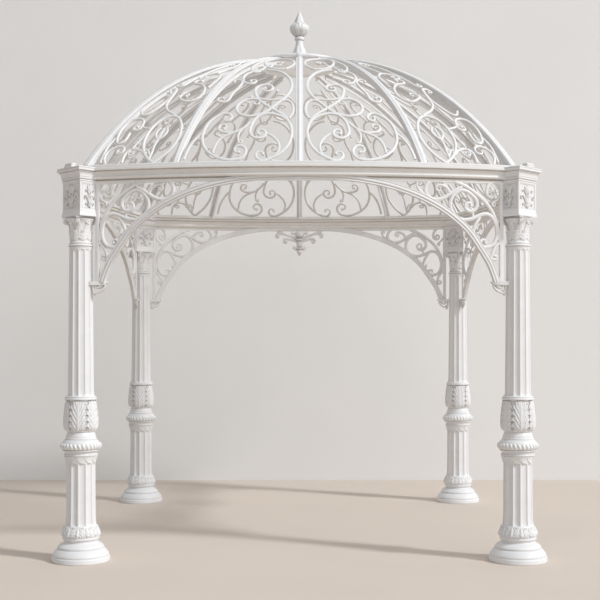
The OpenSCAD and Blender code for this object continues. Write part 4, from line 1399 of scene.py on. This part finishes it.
for i in range(len(strap)):
    near, far = strap[max(i - 1, 0)], strap[min(i + 1, len(strap) - 1)]
    strap_outs.append((0, far[1] - near[1], far[0] - near[0]))
strap_mesh = bars("strap", [(strap_line, strap_outs, [1.0] * len(strap))], 34, 12, column_paint)
crown_parts.append(ring(strap_mesh, 4, column_paint))
crown_mesh = joined("crown", crown_parts)
finish_mesh(crown_mesh, column_paint, 32)
place("turned_crown", crown_mesh, ["crown_ring"])
print("crown profile points:", len(crown))

# %% The finial
stem_low = CROWN_Z + 96
unit = (TIP_Z - stem_low) / 300


def up_stem(points):
    """Heights counted in 300ths of the finial, from its foot."""
    return [(r, stem_low + h * unit) for r, h in points]


stem = [(1, 0), (58, 0), (56, 6), (52, 12)]
stem += curve_through([(46, 22), (38, 40), (31, 62), (27, 86), (26, 97)], 3)
stem += [(32, 99), (36, 103), (37, 110), (36, 117), (33, 121), (27, 124), (25, 127)]
stem += curve_through([(28, 130), (42, 138), (58, 152), (67, 168), (69, 180), (64, 193), (52, 205),
                       (40, 213), (36, 220), (30, 236), (21, 260), (11, 284), (4, 296)], 4)
stem += [(1, 299.5)]
finial_parts = [turned_part("stem", up_stem(stem), 48)]
scale_leaf = leaf("scale_leaf", up_stem([(30, 131), (44, 139), (59, 153), (68, 168), (70, 181),
                                         (67, 192), (68, 199)]),
                  26, lobes=3, rows=20, across=9, thick=3, rib=3, relief=4, notch=0.25)
finial_parts.append(ring(scale_leaf, 8, scroll_paint, 22.5))
inner_leaf = leaf("inner_leaf", up_stem([(66, 166), (69, 180), (64, 194), (54, 205), (49, 215)]),
                  15, lobes=2, rows=14, across=7, thick=2.5, rib=2.5, relief=3, notch=0.2)
finial_parts.append(ring(inner_leaf, 8, scroll_paint, 0))
sheath = leaf("sheath", up_stem([(50, 207), (41, 215), (36, 224), (29, 242), (21, 262)]),
              13, lobes=1, rows=12, across=5, thick=1.5, rib=2, relief=1, notch=0.05)
finial_parts.append(ring(sheath, 6, scroll_paint, 10))
foot_leaf = leaf("foot_leaf", up_stem([(56, 4), (51, 13), (45, 24), (38, 40), (32, 58)]),
                 13, lobes=2, rows=10, across=5, thick=3, rib=2, relief=2, notch=0.15)
finial_parts.append(ring(foot_leaf, 8, scroll_paint, 22.5))
finial = joined("finial", finial_parts)
finish_mesh(finial, scroll_paint)
place("bud_finial", finial, ["finial"])
print("finial tip at", round(max(v.co.z for v in finial.vertices), 3), "m")

# %% [markdown]
# ## Floor, wall and light
# White on white is read by its shadows, so the stage is a pale warm grey, darker than the
# paint, and the light is soft but has a clear side: a sun-like key lamp high on the right,
# a very wide fill lamp nearer the front, and a pale sky. The lamps stay low enough that
# nothing on the gazebo turns to a flat white. A weak spot under the dome stands in for the
# light that a sunny floor throws up. The wall is seen from its front only, so that it never
# hides the gazebo from a camera that stands behind it.

# %% Stage
def plain_finish(name, colour, roughness):
    finish = bpy.data.materials.new(name)
    finish.use_nodes = True
    tree = finish.node_tree
    shader = tree.nodes["Principled BSDF"]
    cloud = noise(tree, 0.8, 3, 0.5)
    tone = blend_colours(tree, spread(tree, cloud, 0.3, 0.7, 0.0, 1.0), colour,
                         tuple(c * 0.965 for c in colour))
    tree.links.new(tone, shader.inputs["Base Color"])
    shader.inputs["Roughness"].default_value = roughness
    return finish


def front_only(finish):
    """The same finish, but clear when it is seen from the back."""
    tree = finish.node_tree
    side = tree.nodes.new("ShaderNodeNewGeometry")
    clear = tree.nodes.new("ShaderNodeBsdfTransparent")
    mix = tree.nodes.new("ShaderNodeMixShader")
    tree.links.new(side.outputs["Backfacing"], mix.inputs["Fac"])
    tree.links.new(tree.nodes["Principled BSDF"].outputs["BSDF"], mix.inputs[1])
    tree.links.new(clear.outputs["BSDF"], mix.inputs[2])
    tree.links.new(mix.outputs["Shader"], tree.nodes["Material Output"].inputs["Surface"])
    return finish


def stage_sheet(name, corners, finish):
    mesh = bpy.data.meshes.new(name)
    mesh.from_pydata(corners, [], [(0, 1, 2, 3)])
    mesh.materials.append(finish)
    sheet = bpy.data.objects.new(name, mesh)
    bpy.context.scene.collection.objects.link(sheet)


FAR = 60
WALL_Y, WALL_HIGH = 3.0, 40
stage_sheet("floor", [(-FAR, -FAR, 0), (FAR, -FAR, 0), (FAR, FAR, 0), (-FAR, FAR, 0)],
            plain_finish("pale_floor", (0.69, 0.605, 0.53), 0.85))
stage_sheet("wall", [(-FAR, WALL_Y, 0), (FAR, WALL_Y, 0), (FAR, WALL_Y, WALL_HIGH),
                     (-FAR, WALL_Y, WALL_HIGH)],
            front_only(plain_finish("pale_wall", (0.88, 0.873, 0.865), 0.9)))
print("stage ready")

# %% Lamps
def hang_lamp(name, kind, power, colour, where, turned, **settings):
    lamp = bpy.data.lights.new(name, kind)
    lamp.energy = power
    lamp.color = colour
    for label, value in settings.items():
        setattr(lamp, label, value)
    stand = bpy.data.objects.new(name, lamp)
    stand.location = where
    stand.rotation_euler = turned
    bpy.context.scene.collection.objects.link(stand)


DAYLIGHT = (0.98, 0.99, 1.0)
FLOOR_TINT = (1.0, 0.985, 0.96)
FILL_AWAY = 14
hang_lamp("key", "SUN", 1.86, DAYLIGHT, (0, 0, 0), (math.radians(50), 0, math.radians(62)),
          angle=math.radians(6))

# A round lamp fades with distance, so the far side of the gazebo gets less of it.
fill_turn = Euler((math.radians(55), 0, math.radians(36)))
fill_place = Vector((0, 0, 1.5)) + fill_turn.to_matrix() @ Vector((0, 0, FILL_AWAY))
hang_lamp("fill", "AREA", 560, DAYLIGHT, fill_place, fill_turn, shape="DISK", size=13)

# The spot stands near the floor in the middle and points straight up into the dome.
hang_lamp("dome_glow", "SPOT", 60, FLOOR_TINT, (0, 0, 0.3), (math.radians(180), 0, 0),
          spot_size=math.radians(64), spot_blend=0.7, shadow_soft_size=0.5)
sky = bpy.data.worlds.new("sky")
sky.use_nodes = True
sky.node_tree.nodes["Background"].inputs["Color"].default_value = (0.93, 0.965, 1.0, 1)
sky.node_tree.nodes["Background"].inputs["Strength"].default_value = 0.32
bpy.context.scene.world = sky
scene = bpy.context.scene
scene.view_settings.view_transform = "Standard"
print("lamps:", [lamp.name for lamp in bpy.data.lights])

# %% [markdown]
# ## Last count
# The dressed model must fill the same box as the plain one. The last cell counts the pieces
# that were made and their triangles.

# %% Pieces and triangles
print(len(made), "pieces,", sum(faces for _, faces in made), "triangles; largest",
      max(faces for _, faces in made))
